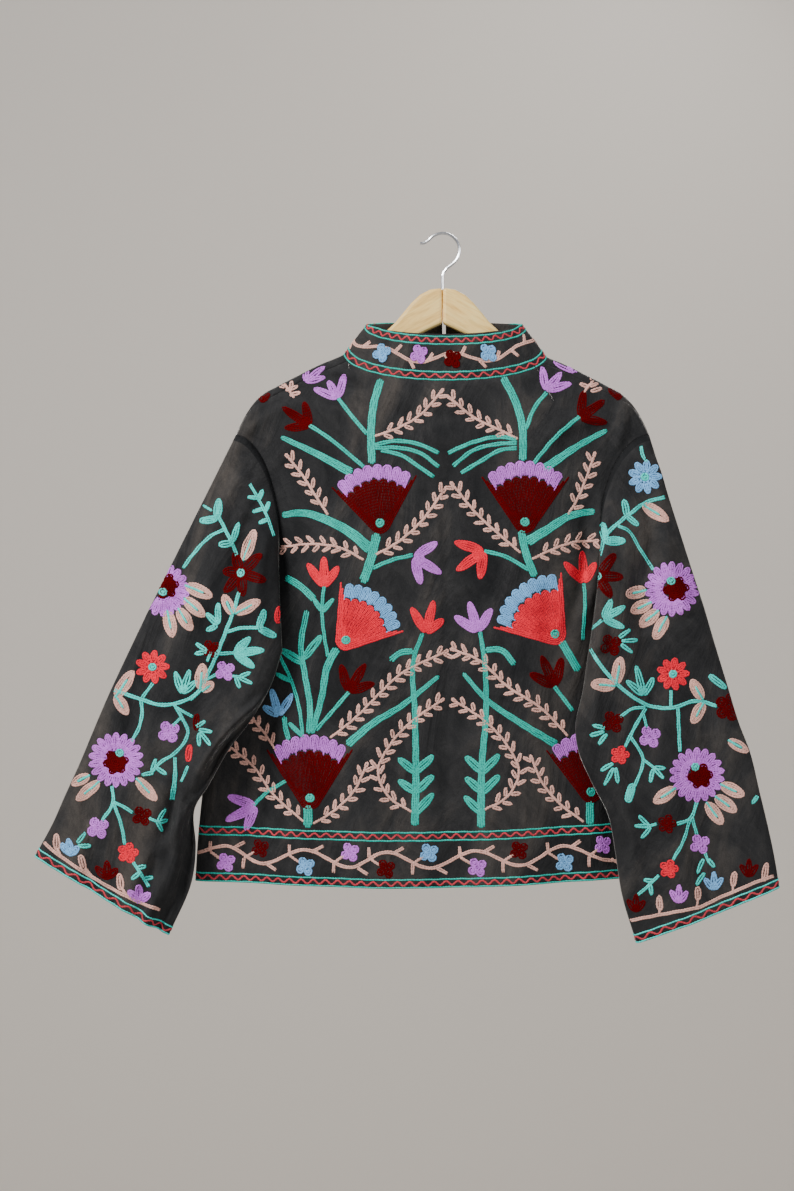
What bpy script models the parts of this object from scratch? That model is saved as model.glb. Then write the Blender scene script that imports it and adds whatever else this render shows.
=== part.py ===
# A velvet jacket with a stand collar, hung by its shoulders on a wooden hanger.
# Metres, +Z up. The origin is the point inside the top of the hanger's hook where it hangs.
# The jacket's back faces -Y and its front faces +Y; +X is the right of the back view.
# Every cloth piece is a grid of points on the garment's outer face. The pieces share
# their points along the seams, so that the walls are mitred there, and then each piece
# draws back from the seam by half of the seam gap.

import math

import bmesh
import bpy
import numpy as np
from mathutils import Vector

# Cloth thickness and seams
BODY_SEAMS = ("top", "left", "right")
CLOTH_WALL = 0.0016
COLLAR_WALL = 0.0018
SEAM_GAP = 0.00036
MOST_MITRE = 1.5                     # a mitred wall is at most this much longer at a seam
SAME_POINT = 1e-5                    # points nearer than this are one point of a seam

# Shoulder line of the cloth: distance from the middle, height. Inside the neck it follows
# the wood, and past the shoulder point it runs on down the outer edge of the sleeve.
SHOULDER_LINE = [
    (0.000, -0.062),
    (0.030, -0.076),
    (0.060, -0.106),
    (0.090, -0.124),
    (0.116, -0.1390),
    (0.140, -0.1490),
    (0.165, -0.1615),
    (0.190, -0.1745),
    (0.206, -0.1835),
    (0.218, -0.1950),
    (0.2275, -0.2095),
    (0.2375, -0.2300),
    (0.250, -0.2560),
    (0.300, -0.3580),
    (0.340, -0.4400),
]
FOLD_RADIUS = 0.0100       # cloth bent over the top edge of the hanger
SHOULDER_X = 0.2375        # shoulder point, where the sleeve is set in
SEAM_DROP = 0.010          # the shoulder seam lies this far down the back
SEAM_RISE_X = 0.195        # and rises to the shoulder point from here outwards
SEAM_TO_NECK = 0.6         # share of the seam after which it bends to the neck seam

# Body, as depths from the hanger's middle plane
BACK_DEPTHS = [            # height, depth of the back at the middle
    (-0.140, 0.031),
    (-0.250, 0.038),
    (-0.450, 0.039),
    (-0.620, 0.035),
    (-0.760, 0.033),
]
FRONT_DEPTH = 0.022
FRONT_THINNING = (0.004, 0.10, 0.26)  # how much shallower towards the side, from x, to x
DEPTH_GROWTH = 0.085       # drop over which the cloth leaves the hanger
CREASE_START = 0.012       # the shoulder creases begin over this drop
BACK_SIDE_DEPTH = 0.004
BACK_FULL_HALF = 0.095     # the back is at full depth this far from the middle,
BACK_FALL_HALF = 0.235     # and thin from here outwards, where the sleeves lie on it
SIDE_Y = 0.003
SIDE_ROUNDING = 0.018
SIDE_SEAMS = [             # height, left side, right side
    (-0.200, 0.247, 0.247),
    (-0.439, 0.242, 0.242),
    (-0.500, 0.255, 0.257),
    (-0.600, 0.271, 0.276),
    (-0.700, 0.282, 0.293),
    (-0.750, 0.285, 0.299),
]
HEM_LINE = [                 # x, z
    (-0.285, -0.743),
    (-0.150, -0.746),
    (0.000, -0.747),
    (0.150, -0.741),
    (0.299, -0.737),
]
HEM_Z = -0.745
FRONT_GAP_NECK = 0.004
FRONT_GAP_HEM = 0.014

# Drape of the body: middle at the top, middle at the hem, width, depth, first height
BACK_FLUTES = [
    (-0.160, -0.175, 0.026, 0.0050, -0.330),
    (-0.112, -0.118, 0.020, -0.0036, -0.420),
    (-0.058, -0.066, 0.026, 0.0034, -0.480),
    (0.004, 0.010, 0.020, -0.0040, -0.300),
    (0.062, 0.078, 0.026, 0.0036, -0.440),
    (0.118, 0.132, 0.022, -0.0034, -0.380),
    (0.158, 0.168, 0.022, 0.0030, -0.420),
    (-0.214, -0.232, 0.020, 0.0044, -0.660),
]
FRONT_FLUTES = [
    (-0.170, -0.190, 0.028, 0.0040, -0.400),
    (-0.110, -0.120, 0.024, -0.0040, -0.450),
    (-0.050, -0.055, 0.026, 0.0036, -0.420),
    (0.055, 0.062, 0.026, 0.0036, -0.460),
    (0.115, 0.128, 0.024, -0.0040, -0.400),
    (0.172, 0.196, 0.028, 0.0040, -0.430),
]
FLUTE_GROWTH = 0.260
FLUTE_LAST = 1.3           # a fold's middle goes on past the hem point by this share

# Neck and collar
NECK_MIDDLE = 0.003
NECK_HALF = 0.1165
NECK_BACK_Z = -0.1705
NECK_FRONT_Z = -0.152
SEAM_ANGLE = math.radians(75)       # where the shoulder seam meets the neck seam
COLLAR_TOP_MIDDLE = 0.002
COLLAR_TOP_HALF = 0.0895
COLLAR_TOP_SIDE_Z = -0.1035
COLLAR_TOP_BACK_Z = -0.1170
COLLAR_TOP_FRONT_Z = -0.0985
COLLAR_TOP_BACK_Y = -0.0235
COLLAR_TOP_FRONT_Y = 0.0180
COLLAR_SWELL = 0.0012
COLLAR_DIP_POWER = 1.3               # how the top edge rises from its middle to the sides
COLLAR_ROUND_POWER = 0.9             # how round the top edge is, seen from above
COLLAR_SWELL_SIDE = 0.5

# Armhole of the left side, from the shoulder point down to the underarm: x, z
ARMHOLE_BACK = [
    (-0.2375, -0.2300),
    (-0.2250, -0.2350),
    (-0.2130, -0.2470),
    (-0.2030, -0.2640),
    (-0.1955, -0.2850),
    (-0.1900, -0.3080),
    (-0.1870, -0.3350),
    (-0.1870, -0.3600),
    (-0.1905, -0.3820),
    (-0.1990, -0.4010),
    (-0.2120, -0.4170),
    (-0.2270, -0.4290),
    (-0.2420, -0.4390),
]
ARMHOLE_FRONT = [
    (-0.2375, -0.2300),
    (-0.2405, -0.2800),
    (-0.2425, -0.3300),
    (-0.2430, -0.3850),
    (-0.2420, -0.4390),
]
UNDERARM = (0.2420, -0.4390)
UNDERARM_INWARD = (1.0, 0.6)        # the wall's way in there, where four pieces meet: x, z
RIGHT_ARMHOLE_INSET = 0.008         # the right crease lies this much nearer the middle

# Sleeves below the underarm. Each row is a ring: outer edge x, z; inner edge x, z;
# middle depth at the outer edge and at the inner edge; half thickness;
# where the underarm seam runs, as an angle past the inner edge.
SLEEVE_LEFT = [
    (-0.3364, -0.4327, -0.1823, -0.4776, -0.017, -0.033, 0.0160, 1.85),
    (-0.3525, -0.4672, -0.1961, -0.5190, -0.020, -0.034, 0.0160, 1.65),
    (-0.3686, -0.5017, -0.2191, -0.5581, -0.022, -0.035, 0.0165, 1.35),
    (-0.3847, -0.5374, -0.2432, -0.5903, -0.024, -0.036, 0.0170, 0.95),
    (-0.3996, -0.5730, -0.2651, -0.6294, -0.025, -0.036, 0.0175, 0.80),
    (-0.4134, -0.6064, -0.2823, -0.6593, -0.026, -0.035, 0.0175, 0.70),
    (-0.4307, -0.6443, -0.2805, -0.7030, -0.026, -0.034, 0.0170, 0.60),
    (-0.4445, -0.6754, -0.2870, -0.7460, -0.026, -0.033, 0.0165, 0.50),
    (-0.4640, -0.7110, -0.3110, -0.7996, -0.026, -0.032, 0.0160, 0.45),
]
SLEEVE_RIGHT = [
    (0.2984, -0.4293, 0.1639, -0.4834, -0.017, -0.033, 0.0170, 1.95),
    (0.3099, -0.4695, 0.1581, -0.5236, -0.019, -0.034, 0.0165, 1.80),
    (0.3226, -0.5121, 0.1501, -0.5604, -0.021, -0.035, 0.0160, 1.55),
    (0.3364, -0.5581, 0.1535, -0.5926, -0.022, -0.035, 0.0155, 1.00),
    (0.3502, -0.5949, 0.1696, -0.6294, -0.023, -0.035, 0.0150, 0.90),
    (0.3605, -0.6386, 0.1869, -0.6639, -0.024, -0.035, 0.0150, 0.80),
    (0.3709, -0.6823, 0.1949, -0.7053, -0.024, -0.034, 0.0150, 0.70),
    (0.3778, -0.7168, 0.2030, -0.7559, -0.025, -0.034, 0.0150, 0.60),
    (0.3824, -0.7467, 0.2190, -0.8088, -0.026, -0.033, 0.0150, 0.55),
]
SLEEVE_SQUARENESS = 0.62             # 1 is an oval, less is flatter with rounder edges
HEAD_BLENDS = [0.09, 0.19, 0.32, 0.47, 0.64, 0.82]   # rings between armhole and first row
HEAD_ROLL = 0.013                    # the sleeve head swells over the armhole seam
HEAD_ROLL_END = (0.78, 0.95)         # and stops between these shares of the seam
HEAD_FOLDS_FROM = -4.0               # the armhole's own ring number in the fold tables
HEAD_FOLD_SPAN = 0.68                # share of the seam that the folds' shares run over
HEAD_WIDTH = 0.15
FOLD_FADE = 0.25                     # share of a fold's length over which its ends fade
FOLD_EDGE_FADE = 3.0                 # how fast a fold fades at a sleeve's edges
FOLD_FAR_SIDE = 0.4                  # a fold's height on the far layer, against the near one
LAST_RING = 8
CLEARANCE_RUN = 0.010
BODY_CLEARANCE = 0.0085              # between the sleeve's under layer and the back

# Folds that show on the sleeves. Each row: first ring, last ring, share of the width at
# each, half width, height (towards the viewer; a trough is negative).
SLEEVE_FOLDS_LEFT = [
    (1.0, 8.0, 0.90, 0.84, 0.012, 0.0050),
    (2.4, 8.0, 0.96, 0.915, 0.011, -0.0070),
    (-3.0, 3.0, 0.55, 0.62, 0.020, 0.0035),
    (5.6, 8.0, 0.10, 0.42, 0.012, -0.0045),
    (5.2, 7.4, 0.02, 0.30, 0.010, 0.0040),
    (0.0, 4.5, 0.34, 0.26, 0.018, -0.0030),
]
SLEEVE_FOLDS_RIGHT = [
    (-4.0, 1.0, 0.62, 0.74, 0.018, 0.0040),
    (0.0, 5.0, 0.88, 0.82, 0.014, 0.0034),
    (1.0, 7.0, 0.30, 0.36, 0.020, -0.0028),
    (4.0, 8.0, 0.66, 0.60, 0.018, 0.0030),
]
SHOULDER_FOLDS = [      # creases that run from the collar: x, z, along x, along z, width, height
    (-0.128, -0.157, 0.030, 0.004, 0.0050, -0.0022),
    (-0.150, -0.185, 0.040, -0.026, 0.0080, 0.0020),
    (0.205, -0.222, 0.004, 0.030, 0.0075, 0.0060),
    (0.150, -0.182, 0.045, -0.016, 0.0080, 0.0018),
    (-0.218, -0.222, 0.024, 0.018, 0.0070, 0.0030),
]

# Hanger
WOOD_THICKNESS = 0.012
WOOD_TOP = [
    (0.0000, -0.0615),
    (0.0145, -0.0635),
    (0.0260, -0.0695),
    (0.0360, -0.0790),
    (0.0455, -0.0905),
    (0.0540, -0.1010),
    (0.0640, -0.1105),
    (0.0900, -0.1275),
    (0.1160, -0.1440),
    (0.1400, -0.1528),
    (0.1650, -0.1649),
    (0.1880, -0.1772),
    (0.2020, -0.1868),
    (0.2105, -0.1942),
    (0.2150, -0.2010),
]
WOOD_BOTTOM = [
    (0.2155, -0.2090),
    (0.2100, -0.2145),
    (0.2000, -0.2125),
    (0.1640, -0.1905),
    (0.1130, -0.1600),
    (0.0600, -0.1310),
    (0.0000, -0.1025),
]
WOOD_EDGE = 0.0045
WOOD_JOINT_GAP = 0.0003
WIRE_RADIUS = 0.0017
HOOK_RADIUS = 0.0195
HOOK_CENTRE_Z = WIRE_RADIUS - HOOK_RADIUS
STEM_TOP_Z = -0.0470
STEM_DEPTH = 0.024
STEM_BEND = [(0.0012, -0.0435), (0.0048, -0.0388)]                           # x, z
HOOK_TIP = [(-0.0196, -0.0088), (-0.0222, -0.0100), (-0.0258, -0.0098)]     # x, z
BORE_CLEARANCE = 0.0003

# How finely the pieces are drawn
SHOULDER_COLUMNS = [0.0, 0.025, 0.06, 0.12, 0.20, 0.30, 0.41, 0.53, 0.66, 0.79, 0.90, 1.0]
SHOULDER_SHARE = 0.27                # of the back's columns, on either side of the neck
NECK_COLUMNS = 12
FRONT_NECK_ANGLES = [75, 82, 90, 98, 108, 120, 133, 147, 162]
BACK_ARM_ROWS = [
    0.0, 0.05, 0.12, 0.19, 0.26, 0.34, 0.43, 0.51,
    0.58, 0.64, 0.70, 0.76, 0.82, 0.88, 0.94, 1.0,
]
FRONT_ARM_ROWS = [
    0.0, 0.022, 0.044, 0.067, 0.092, 0.12, 0.16, 0.22,
    0.30, 0.39, 0.50, 0.62, 0.75, 0.87, 1.0,
]
SIDE_ROWS = [0.07, 0.15, 0.25, 0.35, 0.45, 0.55, 0.65, 0.75, 0.85, 0.93, 1.0]
ARM_SHARE = 0.33
TOP_EDGE_REACH = 0.3465              # share of the way down that the top edge's shape reaches
COLLAR_ROWS = 4
LINE_STEPS = 400
QUARTER = FOLD_RADIUS * math.pi / 2

COLOURS = {
    "velvet": ((0.045, 0.043, 0.042), 0.85, 0.0),
    "wood": ((0.62, 0.42, 0.22), 0.45, 0.0),
    "steel": ((0.75, 0.75, 0.77), 0.25, 1.0),
}


# A smooth line through the rows of a table
def through(at, knots, values):
    knots = np.asarray(knots, float)
    values = np.asarray(values, float)
    at = np.clip(at, knots[0], knots[-1])
    slopes = np.gradient(values, knots)
    i = np.clip(np.searchsorted(knots, at) - 1, 0, len(knots) - 2)
    width = knots[i + 1] - knots[i]
    t = (at - knots[i]) / width
    return (
        values[i] * (2 * t**3 - 3 * t**2 + 1)
        + slopes[i] * width * (t**3 - 2 * t**2 + t)
        + values[i + 1] * (3 * t**2 - 2 * t**3)
        + slopes[i + 1] * width * (t**3 - t**2)
    )


def column(table, index):
    return [row[index] for row in table]


def smooth_step(low, high, value):
    t = np.clip((value - low) / (high - low), 0.0, 1.0)
    return t * t * (3 - 2 * t)


def rounded(share):
    return math.sqrt(max(0.0, 1 - (1 - min(max(share, 0.0), 1.0)) ** 2))


def bump(distance, half_width):
    return math.exp(-((distance / half_width) ** 2))


# Shape of the body
def ridge_height(x):
    return float(through(abs(x), column(SHOULDER_LINE, 0), column(SHOULDER_LINE, 1)))


def side_x(z, right):
    heights = column(SIDE_SEAMS, 0)[::-1]
    return float(through(z, heights, column(SIDE_SEAMS, 2 if right else 1)[::-1]))


def hem_height(x):
    return float(through(x, column(HEM_LINE, 0), column(HEM_LINE, 1)))


def flutes(x, z, table):
    total = 0.0
    for top_x, hem_x, width, depth, first_z in table:
        down = min(max((first_z - z) / FLUTE_GROWTH, 0.0), FLUTE_LAST)
        middle = top_x + (hem_x - top_x) * down
        total += depth * smooth_step(0.0, 1.0, down) * bump(x - middle, width)
    return total


def shoulder_creases(x, z):
    total = 0.0
    for at_x, at_z, way_x, way_z, width, height in SHOULDER_FOLDS:
        length = math.hypot(way_x, way_z)
        along = ((x - at_x) * way_x + (z - at_z) * way_z) / length
        across = ((x - at_x) * way_z - (z - at_z) * way_x) / length
        total += height * bump(along, length) * bump(across, width)
    return total


def back_depth(x, z):
    bell = 1 - smooth_step(BACK_FULL_HALF, BACK_FALL_HALF, abs(x))
    heights = column(BACK_DEPTHS, 0)[::-1]
    deep = float(through(z, heights, column(BACK_DEPTHS, 1)[::-1]))
    return BACK_SIDE_DEPTH + (deep - BACK_SIDE_DEPTH) * bell + flutes(x, z, BACK_FLUTES)


def front_depth(x, z):
    thinner, from_x, to_x = FRONT_THINNING
    return FRONT_DEPTH - thinner * smooth_step(from_x, to_x, abs(x)) + flutes(x, z, FRONT_FLUTES)


def body_y(x, z, front):
    """Where the body's outer face lies below the cloth's fold over the hanger."""
    below = max(ridge_height(x) - FOLD_RADIUS - z, 0.0)
    full = front_depth(x, z) if front else back_depth(x, z)
    y = FOLD_RADIUS + (full - FOLD_RADIUS) * (1 - math.exp(-below / DEPTH_GROWTH))
    if not front:
        y = -y - shoulder_creases(x, z) * smooth_step(0.0, CREASE_START, below)
    edge = side_x(z, x > 0) - abs(x)
    return SIDE_Y + (y - SIDE_Y) * rounded(edge / SIDE_ROUNDING)


def body_point(x, level, front):
    """A point of the body's outer face. The level is the height of the cloth laid out
    flat: the shoulder line's height, less the way down the cloth from there."""
    ridge = ridge_height(x)
    way = ridge - level
    if way < 0:
        front, way = not front, -way
    sign = 1.0 if front else -1.0
    if way < QUARTER:
        angle = way / FOLD_RADIUS
        return (x, sign * FOLD_RADIUS * math.sin(angle), ridge - FOLD_RADIUS * (1 - math.cos(angle)))
    z = ridge - FOLD_RADIUS - way + QUARTER
    return (x, body_y(x, z, front), z)


def laid_out(x, z):
    """x and level of a point at that height."""
    drop = max(ridge_height(x) - z, 0.0)
    if drop < FOLD_RADIUS:
        return x, ridge_height(x) - FOLD_RADIUS * math.acos(1 - drop / FOLD_RADIUS)
    return x, z - QUARTER + FOLD_RADIUS


def over_the_top(point):
    """The same point seen from the other side of the shoulder line."""
    x, level = point
    return x, 2 * ridge_height(x) - level


def neck_edge(angle):
    """x and z of the neck seam; angle 0 is the middle of the back."""
    x = NECK_MIDDLE + NECK_HALF * math.sin(angle)
    side_z = ridge_height(NECK_MIDDLE + math.copysign(NECK_HALF, math.sin(angle) or 1.0))
    middle_z = NECK_BACK_Z if abs(angle) <= math.pi / 2 else NECK_FRONT_Z
    return x, side_z + (middle_z - side_z) * abs(math.cos(angle))


def along_line(points, shares):
    """Points at those shares of the length of a smooth line through the given points."""
    points = np.asarray(points, float)
    knots = np.concatenate([[0], np.cumsum(np.linalg.norm(np.diff(points, axis=0), axis=1))])
    fine = np.linspace(0, knots[-1], LINE_STEPS)
    dense = np.stack([through(fine, knots, points[:, k]) for k in (0, 1)], axis=1)
    length = np.concatenate([[0], np.cumsum(np.linalg.norm(np.diff(dense, axis=0), axis=1))])
    at = np.asarray(shares) * length[-1]
    xs = np.interp(at, length, dense[:, 0])
    zs = np.interp(at, length, dense[:, 1])
    return [(float(x), float(z)) for x, z in zip(xs, zs, strict=True)]


def armhole(table, right, inset):
    """The armhole of one side. The right one lies nearer the middle by the inset."""
    if not right:
        return table
    last = len(table) - 1
    return [(-x - inset * math.sin(math.pi * i / last), z) for i, (x, z) in enumerate(table)]


def side_edge(table, arm_rows, right, inset=0.0):
    """x and z down one edge of a body piece: the armhole, then the side seam."""
    edge = along_line(armhole(table, right, inset), arm_rows)
    under_z = edge[-1][1]
    hem_x = side_x(HEM_Z, right) * (1 if right else -1)
    hem_z = hem_height(hem_x)
    for share in SIDE_ROWS:
        z = under_z + (hem_z - under_z) * share
        edge.append((side_x(z, right) * (1 if right else -1), z))
    return edge


def row_shares(arm_rows):
    return [ARM_SHARE * r for r in arm_rows] + [ARM_SHARE + (1 - ARM_SHARE) * r for r in SIDE_ROWS]


def filled(top, bottom, left, right, across, down):
    """A grid between four edges, each a list of (x, level)."""
    top, bottom, left, right = (np.asarray(e, float) for e in (top, bottom, left, right))
    u = np.asarray(across)[None, :, None]
    v = np.asarray(down)[:, None, None]
    w = 1 - smooth_step(0.0, TOP_EDGE_REACH, v)
    across_edges = (1 - u) * left[:, None] + u * right[:, None]
    top_corners = (1 - u) * top[0] + u * top[-1]
    bottom_corners = (1 - u) * bottom[0] + u * bottom[-1]
    return across_edges + w * (top[None] - top_corners) + v * (bottom[None] - bottom_corners)


def lifted(grid, front):
    return np.array([[body_point(x, level, front) for x, level in row] for row in grid])


def shoulder_edge(side):
    """The shoulder seam, from the shoulder point to the neck. It lies on the back."""
    neck_x, neck_z = neck_edge(side * SEAM_ANGLE)
    edge = []
    for share in SHOULDER_COLUMNS:
        x = side * SHOULDER_X + (neck_x - side * SHOULDER_X) * share
        drop = SEAM_DROP * (1 - smooth_step(SEAM_RISE_X, SHOULDER_X, abs(x)))
        to_neck = ridge_height(neck_x) - neck_z - SEAM_DROP
        drop += to_neck * smooth_step(SEAM_TO_NECK, 1.0, share)
        edge.append(laid_out(x, ridge_height(x) - drop))
    return edge


# The body's pieces as grids
def hem_edge(x):
    return laid_out(x, hem_height(x))


def back_grid():
    outer = [c * SHOULDER_SHARE for c in SHOULDER_COLUMNS]
    middle = np.linspace(outer[-1], 1 - outer[-1], NECK_COLUMNS + 1)[1:-1]
    across = [*outer, *middle, *[1 - c for c in reversed(outer)]]
    seams = [shoulder_edge(side)[:-1] for side in (-1, 1)]
    angles = np.linspace(-SEAM_ANGLE, SEAM_ANGLE, NECK_COLUMNS + 1)
    top = seams[0] + [laid_out(*neck_edge(a)) for a in angles] + seams[1][::-1]
    edges = []
    for right in (False, True):
        edge = side_edge(ARMHOLE_BACK, BACK_ARM_ROWS, right, RIGHT_ARMHOLE_INSET)
        edges.append([laid_out(x, z) for x, z in edge])
    hem_left = -side_x(HEM_Z, False)
    hem_right = side_x(HEM_Z, True)
    bottom = [hem_edge(hem_left + (hem_right - hem_left) * u) for u in across]
    down = row_shares(BACK_ARM_ROWS)
    return lifted(filled(top, bottom, edges[0], edges[1], across, down), False)


def front_grid(right):
    """One front, from its armhole and side to its neck and middle edge."""
    sign = 1 if right else -1
    across = SHOULDER_COLUMNS
    top = [over_the_top(point) for point in shoulder_edge(sign)]
    outer = [laid_out(x, z) for x, z in side_edge(ARMHOLE_FRONT, FRONT_ARM_ROWS, right)]
    inner = []
    for angle in front_neck_angles():
        point = laid_out(*neck_edge(sign * angle))
        inner.append(over_the_top(point) if angle < math.pi / 2 else point)
    down = row_shares(FRONT_ARM_ROWS)
    last = len(inner) - 1
    hem_x = sign * FRONT_GAP_HEM / 2 + NECK_MIDDLE
    end = hem_edge(hem_x)
    for v in down[last + 1 :]:
        share = (v - down[last]) / (1 - down[last])
        start = inner[last]
        inner.append((start[0] + (end[0] - start[0]) * share, start[1] + (end[1] - start[1]) * share))
    hem_outer = sign * side_x(HEM_Z, right)
    bottom = [hem_edge(hem_outer + (hem_x - hem_outer) * u) for u in across]
    return lifted(filled(top, bottom, outer, inner, across, down), True)


def front_neck_angles():
    """Where the rows of a front meet the neck seam, up to the middle edge."""
    end_angle = math.pi - math.asin(FRONT_GAP_NECK / 2 / NECK_HALF)
    return [math.radians(a) for a in FRONT_NECK_ANGLES] + [end_angle]


def collar_grid(back, fronts):
    """The stand collar, from one end at the front round the back to the other."""
    first = len(SHOULDER_COLUMNS) - 1
    front_angles = front_neck_angles()[1:]
    left_base = fronts[False][1 : len(front_angles) + 1, -1][::-1]
    right_base = fronts[True][1 : len(front_angles) + 1, -1]
    back_base = back[0, first : first + NECK_COLUMNS + 1]
    base = np.concatenate([left_base, back_base, right_base])
    back_angles = np.linspace(-SEAM_ANGLE, SEAM_ANGLE, NECK_COLUMNS + 1)
    angles = [*[-a for a in reversed(front_angles)], *back_angles, *front_angles]
    top = []
    for angle in angles:
        cosine = math.cos(angle)
        middle_z = COLLAR_TOP_BACK_Z if cosine > 0 else COLLAR_TOP_FRONT_Z
        depth = COLLAR_TOP_BACK_Y if cosine > 0 else COLLAR_TOP_FRONT_Y
        x = COLLAR_TOP_MIDDLE + COLLAR_TOP_HALF * math.sin(angle)
        z = COLLAR_TOP_SIDE_Z + (middle_z - COLLAR_TOP_SIDE_Z) * abs(cosine) ** COLLAR_DIP_POWER
        top.append((x, depth * abs(cosine) ** COLLAR_ROUND_POWER, z))
    end_gap = FRONT_GAP_NECK / 2
    top[0] = (COLLAR_TOP_MIDDLE - end_gap, top[0][1], top[0][2])
    top[-1] = (COLLAR_TOP_MIDDLE + end_gap, top[-1][1], top[-1][2])
    top = np.array(top)
    outward = np.array([(math.sin(a) * COLLAR_SWELL_SIDE, -math.cos(a), 0.0) for a in angles])
    rows = []
    for j in range(COLLAR_ROWS + 1):
        share = j / COLLAR_ROWS
        swell = COLLAR_SWELL * math.sin(math.pi * share)
        rows.append(base + (top - base) * share + outward * swell)
    return np.array(rows[::-1])


# Sleeves
def fold_height(ring, share, width, table):
    total = 0.0
    for first, last, share_first, share_last, half, height in table:
        t = (ring - first) / (last - first)
        if t < -FOLD_FADE or t > 1 + FOLD_FADE:
            continue
        ends = smooth_step(-FOLD_FADE, FOLD_FADE, t)
        if last < LAST_RING:
            ends *= 1 - smooth_step(1 - FOLD_FADE, 1 + FOLD_FADE, t)
        middle = share_first + (share_last - share_first) * min(max(t, 0.0), 1.0)
        total += height * ends * bump((share - middle) * width, half)
    return total


def ring_points(row, ring, back_shares, front_shares, folds):
    """One closed ring of a sleeve: down the back face, round the inner edge, and back."""
    outer_x, outer_z, inner_x, inner_z, outer_y, inner_y, half, seam = row
    seam_angle = math.pi + seam
    angles = [seam_angle * s for s in back_shares]
    angles += [seam_angle + (2 * math.pi - seam_angle) * (1 - s) for s in reversed(front_shares[1:-1])]
    width = math.hypot(inner_x - outer_x, inner_z - outer_z)
    points = []
    for angle in angles:
        share = (1 - math.cos(angle)) / 2
        sine = math.sin(angle)
        thick = half * math.copysign(abs(sine) ** SLEEVE_SQUARENESS, sine)
        y = outer_y + (inner_y - outer_y) * smooth_step(0.0, 1.0, share) - thick
        lift = fold_height(ring, share, width, folds) * min(1.0, abs(sine) * FOLD_EDGE_FADE)
        y -= lift if sine > 0 else -FOLD_FAR_SIDE * lift
        points.append((outer_x + (inner_x - outer_x) * share, y, outer_z + (inner_z - outer_z) * share))
    return np.array(points)


def before_body(point, seam_point, right):
    """Keeps a point of the sleeve's back half on the viewer's side of the body."""
    x, y, z = point
    if abs(x) > side_x(z, right):
        return point
    away = np.linalg.norm(point - seam_point)
    nearest = body_y(x, z, False) - BODY_CLEARANCE * min(1.0, away / CLEARANCE_RUN)
    return np.array((x, min(y, nearest), z))


def sleeve_grid(back, front, right):
    """Rings from the armhole seam to the cuff."""
    column_at = -1 if right else 0
    back_edge = back[: len(BACK_ARM_ROWS), column_at]
    front_edge = front[: len(FRONT_ARM_ROWS), 0]
    armhole_ring = np.concatenate([back_edge, front_edge[1:-1][::-1]])
    table = SLEEVE_RIGHT if right else SLEEVE_LEFT
    folds = SLEEVE_FOLDS_RIGHT if right else SLEEVE_FOLDS_LEFT
    first = ring_points(table[0], 0, BACK_ARM_ROWS, FRONT_ARM_ROWS, folds)
    rings = [armhole_ring]
    count = len(armhole_ring)
    for blend in HEAD_BLENDS:
        ring = armhole_ring + (first - armhole_ring) * blend
        for i in range(count):
            share = BACK_ARM_ROWS[i] if i < len(BACK_ARM_ROWS) else 0.0
            roll = HEAD_ROLL * math.sin(math.pi * blend**0.6) * math.sin(math.pi * share) ** 1.5
            roll *= 1 - smooth_step(*HEAD_ROLL_END, share)
            ring[i, 1] -= roll
            if share:
                place = HEAD_FOLDS_FROM * (1 - blend)
                lift = fold_height(place, share / HEAD_FOLD_SPAN, HEAD_WIDTH, folds)
                ring[i, 1] -= lift * math.sin(math.pi * blend)
                ring[i] = before_body(ring[i], armhole_ring[i], right)
        rings.append(ring)
    rings.append(first)
    for k in range(1, len(table)):
        halfway = tuple((a + b) / 2 for a, b in zip(table[k - 1], table[k], strict=True))
        rings.append(ring_points(halfway, k - 0.5, BACK_ARM_ROWS, FRONT_ARM_ROWS, folds))
        rings.append(ring_points(table[k], k, BACK_ARM_ROWS, FRONT_ARM_ROWS, folds))
    return np.array(rings)


# From grids to solid walls
def grid_faces(rows, columns, closed, flip):
    faces = []
    span = columns if closed else columns - 1
    for r in range(rows - 1):
        for c in range(span):
            d = (c + 1) % columns
            face = (r * columns + c, (r + 1) * columns + c, (r + 1) * columns + d, r * columns + d)
            faces.append(face[::-1] if flip else face)
    return faces


def shared_offsets(pieces):
    """For every grid point, the way into the garment for one metre of wall."""
    whole = bmesh.new()
    homes = {}
    for name, piece in pieces.items():
        rows, columns = piece["grid"].shape[:2]
        verts = [whole.verts.new(p) for p in piece["grid"].reshape(-1, 3)]
        for face in grid_faces(rows, columns, piece["closed"], piece["flip"]):
            whole.faces.new([verts[i] for i in face])
        homes[name] = np.array(piece["grid"].reshape(-1, 3))
    bmesh.ops.remove_doubles(whole, verts=whole.verts[:], dist=1e-6)
    whole.normal_update()
    places = {}
    for vert in whole.verts:
        outward = vert.normal * min(vert.calc_shell_factor(), MOST_MITRE)
        side, up = vert.co.x, vert.co.z
        if abs(abs(side) - UNDERARM[0]) + abs(up - UNDERARM[1]) < 10 * SAME_POINT:
            outward = Vector((math.copysign(UNDERARM_INWARD[0], side), 0.0, -UNDERARM_INWARD[1]))
        places[tuple(round(c / SAME_POINT) for c in vert.co)] = outward
    offsets = {}
    for name, points in homes.items():
        found = []
        for p in points:
            key = tuple(round(c / SAME_POINT) for c in Vector(p))
            near = [places.get((key[0] + a, key[1] + b, key[2] + c))
                    for a in (0, -1, 1) for b in (0, -1, 1) for c in (0, -1, 1)]
            found.append(next(n for n in near if n is not None))
        offsets[name] = -np.array(found).reshape(pieces[name]["grid"].shape)
    whole.free()
    return offsets


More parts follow.
